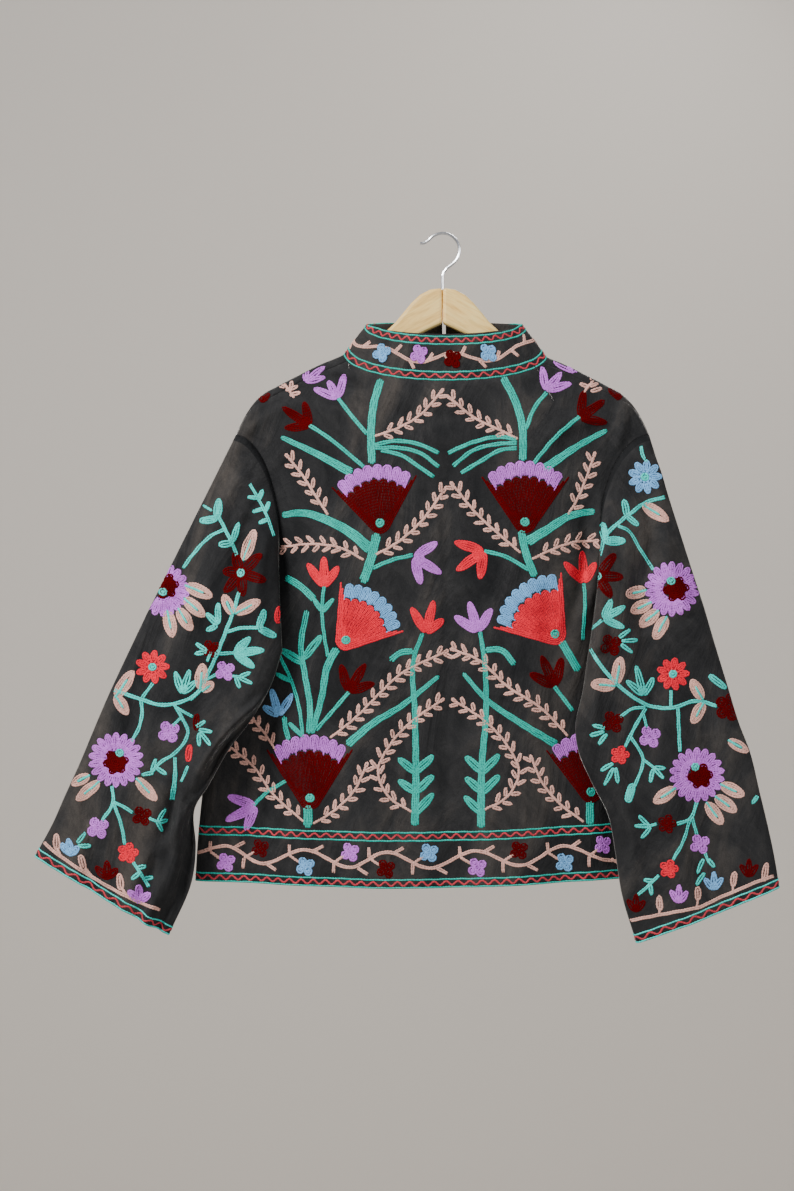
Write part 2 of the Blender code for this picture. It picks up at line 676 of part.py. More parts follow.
def drawn_back(grid, seams, closed):
    """The grid with its seam edges moved into the piece by half of the seam gap."""
    moved = grid.copy()
    sides = {"top": (0, 1), "bottom": (-1, -2)}
    for side, (edge, inside) in sides.items():
        if side in seams:
            moved[edge] += seam_step(grid[edge], grid[inside], closed)
    sides = {"left": (0, 1), "right": (-1, -2)}
    for side, (edge, inside) in sides.items():
        if side in seams:
            moved[:, edge] += seam_step(grid[:, edge], grid[:, inside], False)
    return moved


def seam_step(edge, inside, closed):
    """For each point of an edge, the short step into the piece, square to the seam."""
    if closed:
        run = np.roll(edge, -1, axis=0) - np.roll(edge, 1, axis=0)
    else:
        run = np.gradient(edge, axis=0)
    run /= np.linalg.norm(run, axis=1, keepdims=True)
    way = inside - edge
    way -= run * (way * run).sum(axis=1, keepdims=True)
    return way / np.linalg.norm(way, axis=1, keepdims=True) * SEAM_GAP / 2


def wall_object(name, piece, offsets):
    outer = drawn_back(piece["grid"], piece["seams"], piece["closed"])
    inner = drawn_back(piece["grid"] + offsets * piece["wall"], piece["seams"], piece["closed"])
    rows, columns = outer.shape[:2]
    count = rows * columns
    faces = grid_faces(rows, columns, piece["closed"], piece["flip"])
    faces += [(a + count, d + count, c + count, b + count) for a, b, c, d in faces]
    rims = []
    span = columns if piece["closed"] else columns - 1
    for c in range(span):
        d = (c + 1) % columns
        rims.append((c, d))
        last = (rows - 1) * columns
        rims.append((last + d, last + c))
    if not piece["closed"]:
        for r in range(rows - 1):
            rims.append(((r + 1) * columns, r * columns))
            rims.append((r * columns + columns - 1, (r + 1) * columns + columns - 1))
    lining = piece["grid"] + offsets * piece["wall"]
    walls = np.concatenate([piece["grid"].reshape(-1, 3), lining.reshape(-1, 3)])
    for a, b in rims:
        one_way = np.linalg.norm(walls[a] - walls[b + count])
        if one_way < np.linalg.norm(walls[b] - walls[a + count]):
            halves = [(a, b, b + count), (a, b + count, a + count)]
        else:
            halves = [(a, b, a + count), (b, b + count, a + count)]
        faces += [half[::-1] if piece["flip"] else half for half in halves]
    mesh = bpy.data.meshes.new(name)
    points = np.concatenate([outer.reshape(-1, 3), inner.reshape(-1, 3)])
    mesh.from_pydata([tuple(p) for p in points], [], faces)
    mesh.shade_smooth()
    return placed(bpy.data.objects.new(name, mesh), "velvet")


# Scene helpers
def material(name):
    found = bpy.data.materials.get(name)
    if found:
        return found
    colour, roughness, metallic = COLOURS[name]
    found = bpy.data.materials.new(name)
    found.use_nodes = True
    shader = found.node_tree.nodes["Principled BSDF"]
    shader.inputs["Base Color"].default_value = (*colour, 1.0)
    shader.inputs["Roughness"].default_value = roughness
    shader.inputs["Metallic"].default_value = metallic
    return found


def placed(obj, material_name):
    bpy.data.collections["jacket"].objects.link(obj)
    obj.data.materials.append(material(material_name))
    return obj


def clear_scene():
    for obj in list(bpy.data.objects):
        bpy.data.objects.remove(obj)
    for name in ("jacket", "cutters"):
        bpy.context.scene.collection.children.link(bpy.data.collections.new(name))
    bpy.data.collections["cutters"].hide_render = True


# Hanger
def wood_half(right):
    """One half of the wooden hanger: its outline with a thickness, and round edges."""
    sign = 1 if right else -1
    start = WOOD_JOINT_GAP / 2
    outline = [(max(x, start), z) for x, z in WOOD_TOP + WOOD_BOTTOM]
    curve = bpy.data.curves.new("wood_outline", "CURVE")
    curve.dimensions = "2D"
    curve.fill_mode = "BOTH"
    curve.extrude = WOOD_THICKNESS / 2
    line = curve.splines.new("POLY")
    line.points.add(len(outline) - 1)
    for point, (x, z) in zip(line.points, outline, strict=True):
        point.co = (sign * x, z, 0.0, 1.0)
    line.use_cyclic_u = True
    sketch = bpy.data.objects.new("wood_sketch", curve)
    bpy.data.collections["cutters"].objects.link(sketch)
    sketch.rotation_euler = (math.pi / 2, 0.0, 0.0)
    bpy.context.view_layer.update()
    mesh = bpy.data.meshes.new_from_object(sketch.evaluated_get(bpy.context.evaluated_depsgraph_get()))
    name = "hanger_wood_right" if right else "hanger_wood_left"
    wood = placed(bpy.data.objects.new(name, mesh), "wood")
    wood.matrix_world = sketch.matrix_world
    bpy.data.objects.remove(sketch)
    shell = bmesh.new()
    shell.from_mesh(mesh)
    bmesh.ops.remove_doubles(shell, verts=shell.verts[:], dist=1e-6)
    bmesh.ops.recalc_face_normals(shell, faces=shell.faces[:])
    shell.to_mesh(mesh)
    shell.free()
    edges = wood.modifiers.new("round edges", "BEVEL")
    edges.width = WOOD_EDGE
    edges.segments = 3
    edges.limit_method = "ANGLE"
    edges.angle_limit = math.radians(60)
    bore = wood.modifiers.new("hook bore", "BOOLEAN")
    bore.object = bpy.data.objects["bore_cutter"]
    bore.operation = "DIFFERENCE"
    return wood


def bore_cutter():
    top = STEM_TOP_Z
    bottom = WOOD_TOP[0][1] - STEM_DEPTH - BORE_CLEARANCE
    bpy.ops.mesh.primitive_cylinder_add(
        vertices=20,
        radius=WIRE_RADIUS + BORE_CLEARANCE,
        depth=top - bottom,
        location=(0.0, 0.0, (top + bottom) / 2),
    )
    cutter = bpy.context.object
    cutter.name = "bore_cutter"
    for home in list(cutter.users_collection):
        home.objects.unlink(cutter)
    bpy.data.collections["cutters"].objects.link(cutter)
    cutter.hide_render = True
    cutter.display_type = "WIRE"


def hook_route():
    """The wire's middle line: stem, easy bend, the round of the hook, turned-out tip."""
    bottom = WOOD_TOP[0][1] - STEM_DEPTH
    route = [(0.0, bottom), (0.0, -0.060), (0.0, STEM_TOP_Z), *STEM_BEND]
    for degrees in range(-50, 150, 8):
        angle = math.radians(degrees)
        route.append((HOOK_RADIUS * math.cos(angle), HOOK_CENTRE_Z + HOOK_RADIUS * math.sin(angle)))
    route += HOOK_TIP
    return route


def hook():
    curve = bpy.data.curves.new("hook", "CURVE")
    curve.dimensions = "3D"
    curve.bevel_depth = WIRE_RADIUS
    curve.bevel_resolution = 2
    curve.use_fill_caps = True
    line = curve.splines.new("POLY")
    route = hook_route()
    line.points.add(len(route) - 1)
    for point, (x, z) in zip(line.points, route, strict=True):
        point.co = (x, 0.0, z, 1.0)
    return placed(bpy.data.objects.new("hanger_hook", curve), "steel")


def main():
    clear_scene()
    back = back_grid()
    fronts = {right: front_grid(right) for right in (False, True)}
    collar = collar_grid(back, fronts)
    sleeve_left = sleeve_grid(back, fronts[False], False)
    sleeve_right = sleeve_grid(back, fronts[True], True)
    pieces = {
        "back": {"grid": back, "closed": False, "flip": False, "seams": BODY_SEAMS},
        "front_left": {"grid": fronts[False], "closed": False, "flip": True, "seams": BODY_SEAMS},
        "front_right": {"grid": fronts[True], "closed": False, "flip": False, "seams": BODY_SEAMS},
        "collar": {"grid": collar, "closed": False, "flip": False, "seams": ("bottom",)},
        "sleeve_left": {"grid": sleeve_left, "closed": True, "flip": False, "seams": ("top",)},
        "sleeve_right": {"grid": sleeve_right, "closed": True, "flip": True, "seams": ("top",)},
    }
    for name, piece in pieces.items():
        piece["wall"] = COLLAR_WALL if name == "collar" else CLOTH_WALL
    offsets = shared_offsets(pieces)
    for name, piece in pieces.items():
        wall_object(name, piece, offsets[name])
    bore_cutter()
    wood_half(False)
    wood_half(True)
    hook()


main()
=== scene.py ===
# Looks of the embroidered velvet jacket on its wooden hanger.
# Metres, +Z up. The jacket's back faces -Y, where the camera stands.
import math
import random

import bpy
import numpy as np
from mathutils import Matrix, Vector
from mathutils.bvhtree import BVHTree


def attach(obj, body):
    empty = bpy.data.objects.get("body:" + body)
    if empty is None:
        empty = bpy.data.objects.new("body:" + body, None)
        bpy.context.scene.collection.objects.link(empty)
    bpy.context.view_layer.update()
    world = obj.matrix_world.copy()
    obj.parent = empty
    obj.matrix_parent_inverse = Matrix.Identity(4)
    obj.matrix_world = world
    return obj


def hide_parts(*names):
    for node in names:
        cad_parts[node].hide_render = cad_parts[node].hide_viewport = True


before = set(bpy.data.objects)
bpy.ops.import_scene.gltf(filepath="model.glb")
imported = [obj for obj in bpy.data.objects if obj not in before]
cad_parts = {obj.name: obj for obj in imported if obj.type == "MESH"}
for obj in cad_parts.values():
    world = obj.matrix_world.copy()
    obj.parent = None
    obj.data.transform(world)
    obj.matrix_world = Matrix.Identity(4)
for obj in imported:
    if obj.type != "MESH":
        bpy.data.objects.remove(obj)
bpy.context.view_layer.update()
bpy.ops.object.select_all(action="DESELECT")
print("frame loaded:", sorted(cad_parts))

# Camera: straight on to the back of the jacket
cameraSettings = {
    "distance": 2.4,          # from the hanger's middle plane
    "pixel": 0.00115,         # metres of that plane for each pixel of the photograph
    "size": (794, 1191),
    "hookPixel": (442.5, 234.7),
    "sensor": 36,             # millimetres
}


def onPlane(column, row):  # where a pixel of the photograph lies in the hanger's middle plane
    scale = cameraSettings["pixel"]
    hookColumn, hookRow = cameraSettings["hookPixel"]
    return Vector(((column - hookColumn) * scale, 0.0, (hookRow - row) * scale))


def addCamera():
    settings = cameraSettings
    width, height = settings["size"]
    place = onPlane(width / 2, height / 2)
    place.y = -settings["distance"]
    bpy.ops.object.camera_add(location=place, rotation=(math.radians(90), 0, 0))
    camera = bpy.context.object
    camera.data.sensor_fit = "VERTICAL"
    camera.data.sensor_height = settings["sensor"]
    camera.data.lens = settings["sensor"] * settings["distance"] / (height * settings["pixel"])
    bpy.context.scene.camera = camera
    return camera


camera = addCamera()
print("camera placed")

# Stage: a pale floor, a pale backdrop far behind, and soft light
stageSettings = {
    "backdropY": 3.6,
    "stageSize": 14,
    "floorZ": -2.2,
    "backdropColour": (0.78, 0.71, 0.63),
    "floorColour": (0.60, 0.57, 0.53),
    "paintRoughness": 0.9,
    "lights": [               # name, place, power
        ("keyLight", (-1.9, -1.9, 1.5), 150),
        ("fillLight", (2.0, -2.2, 0.1), 24),
        ("rearLight", (1.2, 2.7, 2.3), 60),
    ],
    "lightSize": 1.3,
    "lightAim": (-0.05, 0, -0.42),
    "worldColour": (0.90, 0.94, 1.0),
    "worldStrength": 0.40,
}


def startMaterial(name):
    found = bpy.data.materials.new(name)
    found.use_nodes = True
    tree = found.node_tree
    return found, tree, tree.nodes["Principled BSDF"]


def setShader(shader, values):
    for name, value in values.items():
        shader.inputs[name].default_value = value


def addPlane(name, place, turn, colour):
    bpy.ops.mesh.primitive_plane_add(size=stageSettings["stageSize"], location=place, rotation=turn)
    plane = bpy.context.object
    plane.name = name
    paint, _, shader = startMaterial(name + "Paint")
    setShader(shader, {"Base Color": (*colour, 1), "Roughness": stageSettings["paintRoughness"]})
    plane.data.materials.append(paint)


def addAreaLight(name, place, power):
    bpy.ops.object.light_add(type="AREA", location=place)
    light = bpy.context.object
    light.name = name
    light.data.size = stageSettings["lightSize"]
    light.data.energy = power
    way = Vector(stageSettings["lightAim"]) - Vector(place)
    light.rotation_euler = way.to_track_quat("-Z", "Y").to_euler()


def addStage():
    settings = stageSettings
    upright = (math.radians(90), 0, 0)
    addPlane("backdrop", (0, settings["backdropY"], 0), upright, settings["backdropColour"])
    addPlane("floor", (0, 0, settings["floorZ"]), (0, 0, 0), settings["floorColour"])
    for light in settings["lights"]:
        addAreaLight(*light)
    world = bpy.data.worlds.new("softRoom")
    bpy.context.scene.world = world
    world.use_nodes = True
    sky = world.node_tree.nodes["Background"]
    sky.inputs["Color"].default_value = (*settings["worldColour"], 1)
    sky.inputs["Strength"].default_value = settings["worldStrength"]


addStage()
print("stage ready")

# Materials. Each noise: scale, detail, roughness, distortion, stretch, turn. Each bump: strength
# and distance. Each list of tones: place on the noise and colour there.
mixSockets = {"factor": 0, "first": 6, "second": 7, "result": 2}


def addNoise(tree, scale, detail, roughness, distortion=0.0, stretch=(1, 1, 1), turn=(0, 0, 0)):
    place = tree.nodes.new("ShaderNodeTexCoord")
    mapping = tree.nodes.new("ShaderNodeMapping")
    mapping.vector_type = "TEXTURE"  # turns first, then stretches
    mapping.inputs["Scale"].default_value = [1 / s for s in stretch]
    mapping.inputs["Rotation"].default_value = turn
    noise = tree.nodes.new("ShaderNodeTexNoise")
    noise.inputs["Scale"].default_value = scale
    noise.inputs["Detail"].default_value = detail
    noise.inputs["Roughness"].default_value = roughness
    noise.inputs["Distortion"].default_value = distortion
    tree.links.new(place.outputs["Object"], mapping.inputs["Vector"])
    tree.links.new(mapping.outputs["Vector"], noise.inputs["Vector"])
    return noise.outputs["Fac"]


def addRamp(tree, factor, tones):
    ramp = tree.nodes.new("ShaderNodeValToRGB")
    while len(ramp.color_ramp.elements) < len(tones):
        ramp.color_ramp.elements.new(1.0)
    for element, (at, colour) in zip(ramp.color_ramp.elements, tones):
        element.position = at
        element.color = (*colour, 1)
    tree.links.new(factor, ramp.inputs["Fac"])
    return ramp.outputs["Color"]


def multiplied(tree, first, second):
    mix = tree.nodes.new("ShaderNodeMix")
    mix.data_type = "RGBA"
    mix.blend_type = "MULTIPLY"
    mix.inputs[mixSockets["factor"]].default_value = 1.0
    tree.links.new(first, mix.inputs[mixSockets["first"]])
    tree.links.new(second, mix.inputs[mixSockets["second"]])
    return mix.outputs[mixSockets["result"]]


def addBump(tree, shader, height, strength, distance, before=None):
    bump = tree.nodes.new("ShaderNodeBump")
    bump.inputs["Strength"].default_value = strength
    bump.inputs["Distance"].default_value = distance
    tree.links.new(height, bump.inputs["Height"])
    if before:
        tree.links.new(before.outputs["Normal"], bump.inputs["Normal"])
    tree.links.new(bump.outputs["Normal"], shader.inputs["Normal"])
    return bump


velvetSettings = {
    "deep": (0.0115, 0.0119, 0.0127),
    "face": (0.0235, 0.0234, 0.0240),
    "brushed": (0.072, 0.062, 0.054),
    "toneStops": (0.32, 0.50, 0.78),
    "patches": (7.5, 5.0, 0.62, 0.9, (1.75, 1.0, 0.60), (0.0, 0.30, 0.0)),
    "strokes": (30.0, 5.0, 0.62, 1.6, (1.2, 1.0, 0.7), (0.0, -0.6, 0.0)),
    "pile": (900.0, 2.0, 0.6),
    "strokeTones": [(0.34, (0.78, 0.78, 0.79)), (0.70, (1.24, 1.21, 1.18))],
    "pileTones": [(0.3, (0.8, 0.8, 0.8)), (0.7, (1.2, 1.2, 1.2))],
    "patchBump": (0.8, 0.010),
    "strokeBump": (0.6, 0.0030),
    "pileBump": (0.3, 0.0004),
    "shader": {
        "Roughness": 0.92,
        "Specular IOR Level": 0.15,
        "Sheen Roughness": 0.27,
        "Sheen Tint": (0.68, 0.645, 0.61, 1),
    },
}


def makeVelvet(name, sheen, tones):
    settings = velvetSettings
    found, tree, shader = startMaterial(name)
    patches = addNoise(tree, *settings["patches"])
    strokes = addNoise(tree, *settings["strokes"])
    pile = addNoise(tree, *settings["pile"])
    broad = addRamp(tree, patches, [(at, settings[tone]) for at, tone in zip(settings["toneStops"], tones)])
    marks = addRamp(tree, strokes, settings["strokeTones"])
    speck = addRamp(tree, pile, settings["pileTones"])
    worn = multiplied(tree, multiplied(tree, broad, marks), speck)
    tree.links.new(worn, shader.inputs["Base Color"])
    setShader(shader, settings["shader"])
    shader.inputs["Sheen Weight"].default_value = sheen
    bruised = addBump(tree, shader, patches, *settings["patchBump"])
    soft = addBump(tree, shader, strokes, *settings["strokeBump"], bruised)
    addBump(tree, shader, pile, *settings["pileBump"], soft)
    return found


threadColours = {
    "teal": (0.022, 0.47, 0.375),
    "aqua": (0.048, 0.66, 0.575),
    "pink": (0.72, 0.40, 0.325),
    "lilac": (0.57, 0.165, 0.70),
    "maroon": (0.088, 0.0003, 0.0012),
    "coral": (0.86, 0.020, 0.044),
    "blue": (0.19, 0.45, 0.78),
    "red": (0.53, 0.055, 0.070),
}
threadSettings = {
    "fibre": (700.0, 3.0, 0.6),
    "hanks": (55.0, 2.0, 0.5),
    "darkest": (0.30, 0.62),          # place on the noise, and share of the thread's colour
    "lightest": (0.62, 1.2),
    "hankTones": [(0.35, (0.86, 0.86, 0.86)), (0.7, (1.1, 1.1, 1.1))],
    "bump": (0.5, 0.0005),
    "shader": {
        "Roughness": 0.8,
        "Specular IOR Level": 0.05,
        "Sheen Weight": 0.04,
        "Sheen Roughness": 0.5,
    },
}


def makeThread(name, colour):
    settings = threadSettings
    found, tree, shader = startMaterial("thread_" + name)
    fibre = addNoise(tree, *settings["fibre"])
    hanks = addNoise(tree, *settings["hanks"])
    tones = [
        (at, tuple(min(1.0, c * share) for c in colour))
        for at, share in (settings["darkest"], settings["lightest"])
    ]
    strands = addRamp(tree, fibre, tones)
    tone = addRamp(tree, hanks, settings["hankTones"])
    tree.links.new(multiplied(tree, strands, tone), shader.inputs["Base Color"])
    setShader(shader, settings["shader"])
    shader.inputs["Sheen Tint"].default_value = (*tones[-1][1], 1)
    addBump(tree, shader, fibre, *settings["bump"])
    return found


velvet = makeVelvet("velvet", 1.0, ("deep", "face", "brushed"))
# A darker copy of the velvet without sheen: painted shade on the cloth's cut edges, on the sleeve row beside
# each armhole seam, and in the armhole rows.
paintedShadeVelvet = makeVelvet("paintedShadeVelvet", 0.0, ("deep", "deep", "face"))
threads = {name: makeThread(name, colour) for name, colour in threadColours.items()}

woodSettings = {
    "slope": 0.5,
    "grain": (26.0, 5.0, 0.6, 1.5, (0.35, 1.0, 3.2)),
    "pores": (420.0, 2.0, 0.5, 0.0, (0.12, 1.0, 1.0)),
    "grainTones": [(0.30, (0.80, 0.46, 0.12)), (0.50, (1.0, 0.68, 0.23)), (0.72, (1.0, 0.76, 0.30))],
    "poreTones": [(0.32, (0.86, 0.82, 0.76)), (0.5, (1.0, 1.0, 1.0))],
    "bump": (0.15, 0.0003),
    "shader": {"Roughness": 0.42, "Coat Weight": 0.05, "Coat Roughness": 0.25},
}
steelSettings = {
    "scratches": (260.0, 3.0, 0.6, 0.0, (1.0, 1.0, 0.3)),
    "roughness": (0.16, 0.34),
    "bump": (0.08, 0.0002),
    "shader": {"Base Color": (0.72, 0.72, 0.74, 1), "Metallic": 1.0},
}


def makeWood(name, slope):  # the grain runs along the arm, which slopes this much
    settings = woodSettings
    found, tree, shader = startMaterial(name)
    grain = addNoise(tree, *settings["grain"], (0.0, slope, 0.0))
    pores = addNoise(tree, *settings["pores"], (0.0, slope, 0.0))
    broad = addRamp(tree, grain, settings["grainTones"])
    fine = addRamp(tree, pores, settings["poreTones"])
    tree.links.new(multiplied(tree, broad, fine), shader.inputs["Base Color"])
    setShader(shader, settings["shader"])
    addBump(tree, shader, pores, *settings["bump"])
    return found


def makeSteel():
    settings = steelSettings
    found, tree, shader = startMaterial("brightSteel")
    scratches = addNoise(tree, *settings["scratches"])
    rough = tree.nodes.new("ShaderNodeMapRange")
    rough.inputs["To Min"].default_value, rough.inputs["To Max"].default_value = settings["roughness"]
    tree.links.new(scratches, rough.inputs["Value"])
    tree.links.new(rough.outputs["Result"], shader.inputs["Roughness"])
    setShader(shader, settings["shader"])
    addBump(tree, shader, scratches, *settings["bump"])
    return found


beech = [makeWood("beechLeft", -woodSettings["slope"]), makeWood("beechRight", woodSettings["slope"])]
steel = makeSteel()
print("materials ready")

# Shape of the jacket. Depths are from the hanger's middle plane, levels are heights of the
# cloth laid out flat.
jacket = {
    "wall": 0.0016,
    "collarWall": 0.0018,
    "shoulderLine": [
        (0.000, -0.062), (0.030, -0.076), (0.060, -0.106), (0.090, -0.124), (0.116, -0.1390),
        (0.140, -0.1490), (0.165, -0.1615), (0.190, -0.1745), (0.206, -0.1835), (0.218, -0.1950),
        (0.2275, -0.2095), (0.2375, -0.2300), (0.250, -0.2560), (0.300, -0.3580), (0.340, -0.4400),
    ],
    "foldRadius": 0.0100,
    "shoulderX": 0.2375,
    "seamDrop": 0.010,
    "seamRiseX": 0.195,
    "seamToNeck": 0.6,
    "backDepths": [(-0.140, 0.031), (-0.250, 0.038), (-0.450, 0.039), (-0.620, 0.035), (-0.760, 0.033)],
    "frontDepth": 0.022,
    "frontThinning": (0.004, 0.10, 0.26),
    "depthGrowth": 0.085,
    "creaseStart": 0.012,
    "backSideDepth": 0.004,
    "backFullHalf": 0.095,
    "backFallHalf": 0.235,
    "sideY": 0.003,
    "sideRounding": 0.018,
    "sideSeams": [
        (-0.200, 0.247, 0.247), (-0.439, 0.242, 0.242), (-0.500, 0.255, 0.257),
        (-0.600, 0.271, 0.276), (-0.700, 0.282, 0.293), (-0.750, 0.285, 0.299),
    ],
    "hemLine": [(-0.285, -0.743), (-0.150, -0.746), (0.000, -0.747), (0.150, -0.741), (0.299, -0.737)],
    "hemZ": -0.745,
    "frontGapNeck": 0.004,
    "frontGapHem": 0.014,
    "backFlutes": [                 # middle at the top, at the hem, width, depth, first height
        (-0.160, -0.175, 0.026, 0.0050, -0.330), (-0.112, -0.118, 0.020, -0.0036, -0.420),
        (-0.058, -0.066, 0.026, 0.0034, -0.480), (0.004, 0.010, 0.020, -0.0040, -0.300),
        (0.062, 0.078, 0.026, 0.0036, -0.440), (0.118, 0.132, 0.022, -0.0034, -0.380),
        (0.158, 0.168, 0.022, 0.0030, -0.420), (-0.214, -0.232, 0.020, 0.0044, -0.660),
    ],
    "frontFlutes": [
        (-0.170, -0.190, 0.028, 0.0040, -0.400), (-0.110, -0.120, 0.024, -0.0040, -0.450),
        (-0.050, -0.055, 0.026, 0.0036, -0.420), (0.055, 0.062, 0.026, 0.0036, -0.460),
        (0.115, 0.128, 0.024, -0.0040, -0.400), (0.172, 0.196, 0.028, 0.0040, -0.430),
    ],
    "fluteGrowth": 0.260,
    "fluteLast": 1.3,
    "neckMiddle": 0.003,
    "neckHalf": 0.1165,
    "neckBackZ": -0.1705,
    "neckFrontZ": -0.152,
    "seamAngle": math.radians(75),
    "shoulderFolds": [              # x, z, along x, along z, width, height
        (-0.128, -0.157, 0.030, 0.004, 0.0050, -0.0022), (-0.150, -0.185, 0.040, -0.026, 0.0080, 0.0020),
        (0.205, -0.222, 0.004, 0.030, 0.0075, 0.0060), (0.150, -0.182, 0.045, -0.016, 0.0080, 0.0018),
        (-0.218, -0.222, 0.024, 0.018, 0.0070, 0.0030),
    ],
    "armholeBack": [
        (-0.2375, -0.2300), (-0.2250, -0.2350), (-0.2130, -0.2470), (-0.2030, -0.2640), (-0.1955, -0.2850),
        (-0.1900, -0.3080), (-0.1870, -0.3350), (-0.1870, -0.3600), (-0.1905, -0.3820), (-0.1990, -0.4010),
        (-0.2120, -0.4170), (-0.2270, -0.4290), (-0.2420, -0.4390),
    ],
    "armholeFront": [
        (-0.2375, -0.2300), (-0.2405, -0.2800), (-0.2425, -0.3300), (-0.2430, -0.3850), (-0.2420, -0.4390),
    ],
    "rightArmholeInset": 0.008,
    "shoulderColumns": [0.0, 0.025, 0.06, 0.12, 0.20, 0.30, 0.41, 0.53, 0.66, 0.79, 0.90, 1.0],
    "shoulderShare": 0.27,
    "neckColumns": 12,
    "frontNeckAngles": [75, 82, 90, 98, 108, 120, 133, 147, 162],
    "backArmRows": [
        0.0, 0.05, 0.12, 0.19, 0.26, 0.34, 0.43, 0.51, 0.58, 0.64, 0.70, 0.76, 0.82, 0.88, 0.94, 1.0,
    ],
    "frontArmRows": [
        0.0, 0.022, 0.044, 0.067, 0.092, 0.12, 0.16, 0.22, 0.30, 0.39, 0.50, 0.62, 0.75, 0.87, 1.0,
    ],
    "sideRows": [0.07, 0.15, 0.25, 0.35, 0.45, 0.55, 0.65, 0.75, 0.85, 0.93, 1.0],
    "armShare": 0.33,
    "topEdgeReach": 0.3465,
    "finerColumns": 4,
    "finerRows": 5,
    "edgePoints": 400,
    "wallClamp": 2.0,
}
quarter = jacket["foldRadius"] * math.pi / 2


def through(at, knots, values):  # a smooth line through the rows of a table
    order = np.argsort(np.asarray(knots, float))
    knots = np.asarray(knots, float)[order]
    values = np.asarray(values, float)[order]
    at = np.clip(at, knots[0], knots[-1])
    slopes = np.gradient(values, knots)
    i = np.clip(np.searchsorted(knots, at) - 1, 0, len(knots) - 2)
    width = knots[i + 1] - knots[i]
    t = (at - knots[i]) / width
    return (
        values[i] * (2 * t**3 - 3 * t**2 + 1)
        + slopes[i] * width * (t**3 - 2 * t**2 + t)
        + values[i + 1] * (3 * t**2 - 2 * t**3)
        + slopes[i + 1] * width * (t**3 - t**2)
    )


def lengthsAlong(line):  # the way covered from the first point to each one
    return np.concatenate([[0], np.cumsum(np.linalg.norm(np.diff(line, axis=0), axis=1))])


def pointsAt(at, lengths, line):
    return np.stack([np.interp(at, lengths, line[:, k]) for k in (0, 1)], axis=1)


def column(table, index):
    return [row[index] for row in table]


def smoothStep(low, high, value):
    t = np.clip((value - low) / (high - low), 0.0, 1.0)
    return t * t * (3 - 2 * t)


def rounded(share):
    return np.sqrt(np.maximum(0.0, 1 - (1 - np.clip(share, 0.0, 1.0)) ** 2))


def bell(distance, halfWidth):
    return np.exp(-((distance / halfWidth) ** 2))


def finer(values, parts):  # more values between those of a list, evenly
    values = np.asarray(values, float)
    steps = np.arange(parts) / parts
    between = [a + (b - a) * steps for a, b in zip(values, values[1:])]
    return np.concatenate([*between, values[-1:]])


def ridgeHeight(x):
    return through(np.abs(x), column(jacket["shoulderLine"], 0), column(jacket["shoulderLine"], 1))


def sideX(z, x):
    seams = jacket["sideSeams"]
    left = through(z, column(seams, 0), column(seams, 1))
    right = through(z, column(seams, 0), column(seams, 2))
    return np.where(np.asarray(x) > 0, right, left)


def hemHeight(x):
    return through(x, column(jacket["hemLine"], 0), column(jacket["hemLine"], 1))


def flutes(x, z, table):
    total = 0.0
    for topX, hemX, width, depth, firstZ in table:
        down = np.clip((firstZ - z) / jacket["fluteGrowth"], 0.0, jacket["fluteLast"])
        total = total + depth * smoothStep(0.0, 1.0, down) * bell(x - topX - (hemX - topX) * down, width)
    return total


def shoulderCreases(x, z):
    total = 0.0
    for atX, atZ, wayX, wayZ, width, height in jacket["shoulderFolds"]:
        length = math.hypot(wayX, wayZ)
        along = ((x - atX) * wayX + (z - atZ) * wayZ) / length
        across = ((x - atX) * wayZ - (z - atZ) * wayX) / length
        total = total + height * bell(along, length) * bell(across, width)
    return total


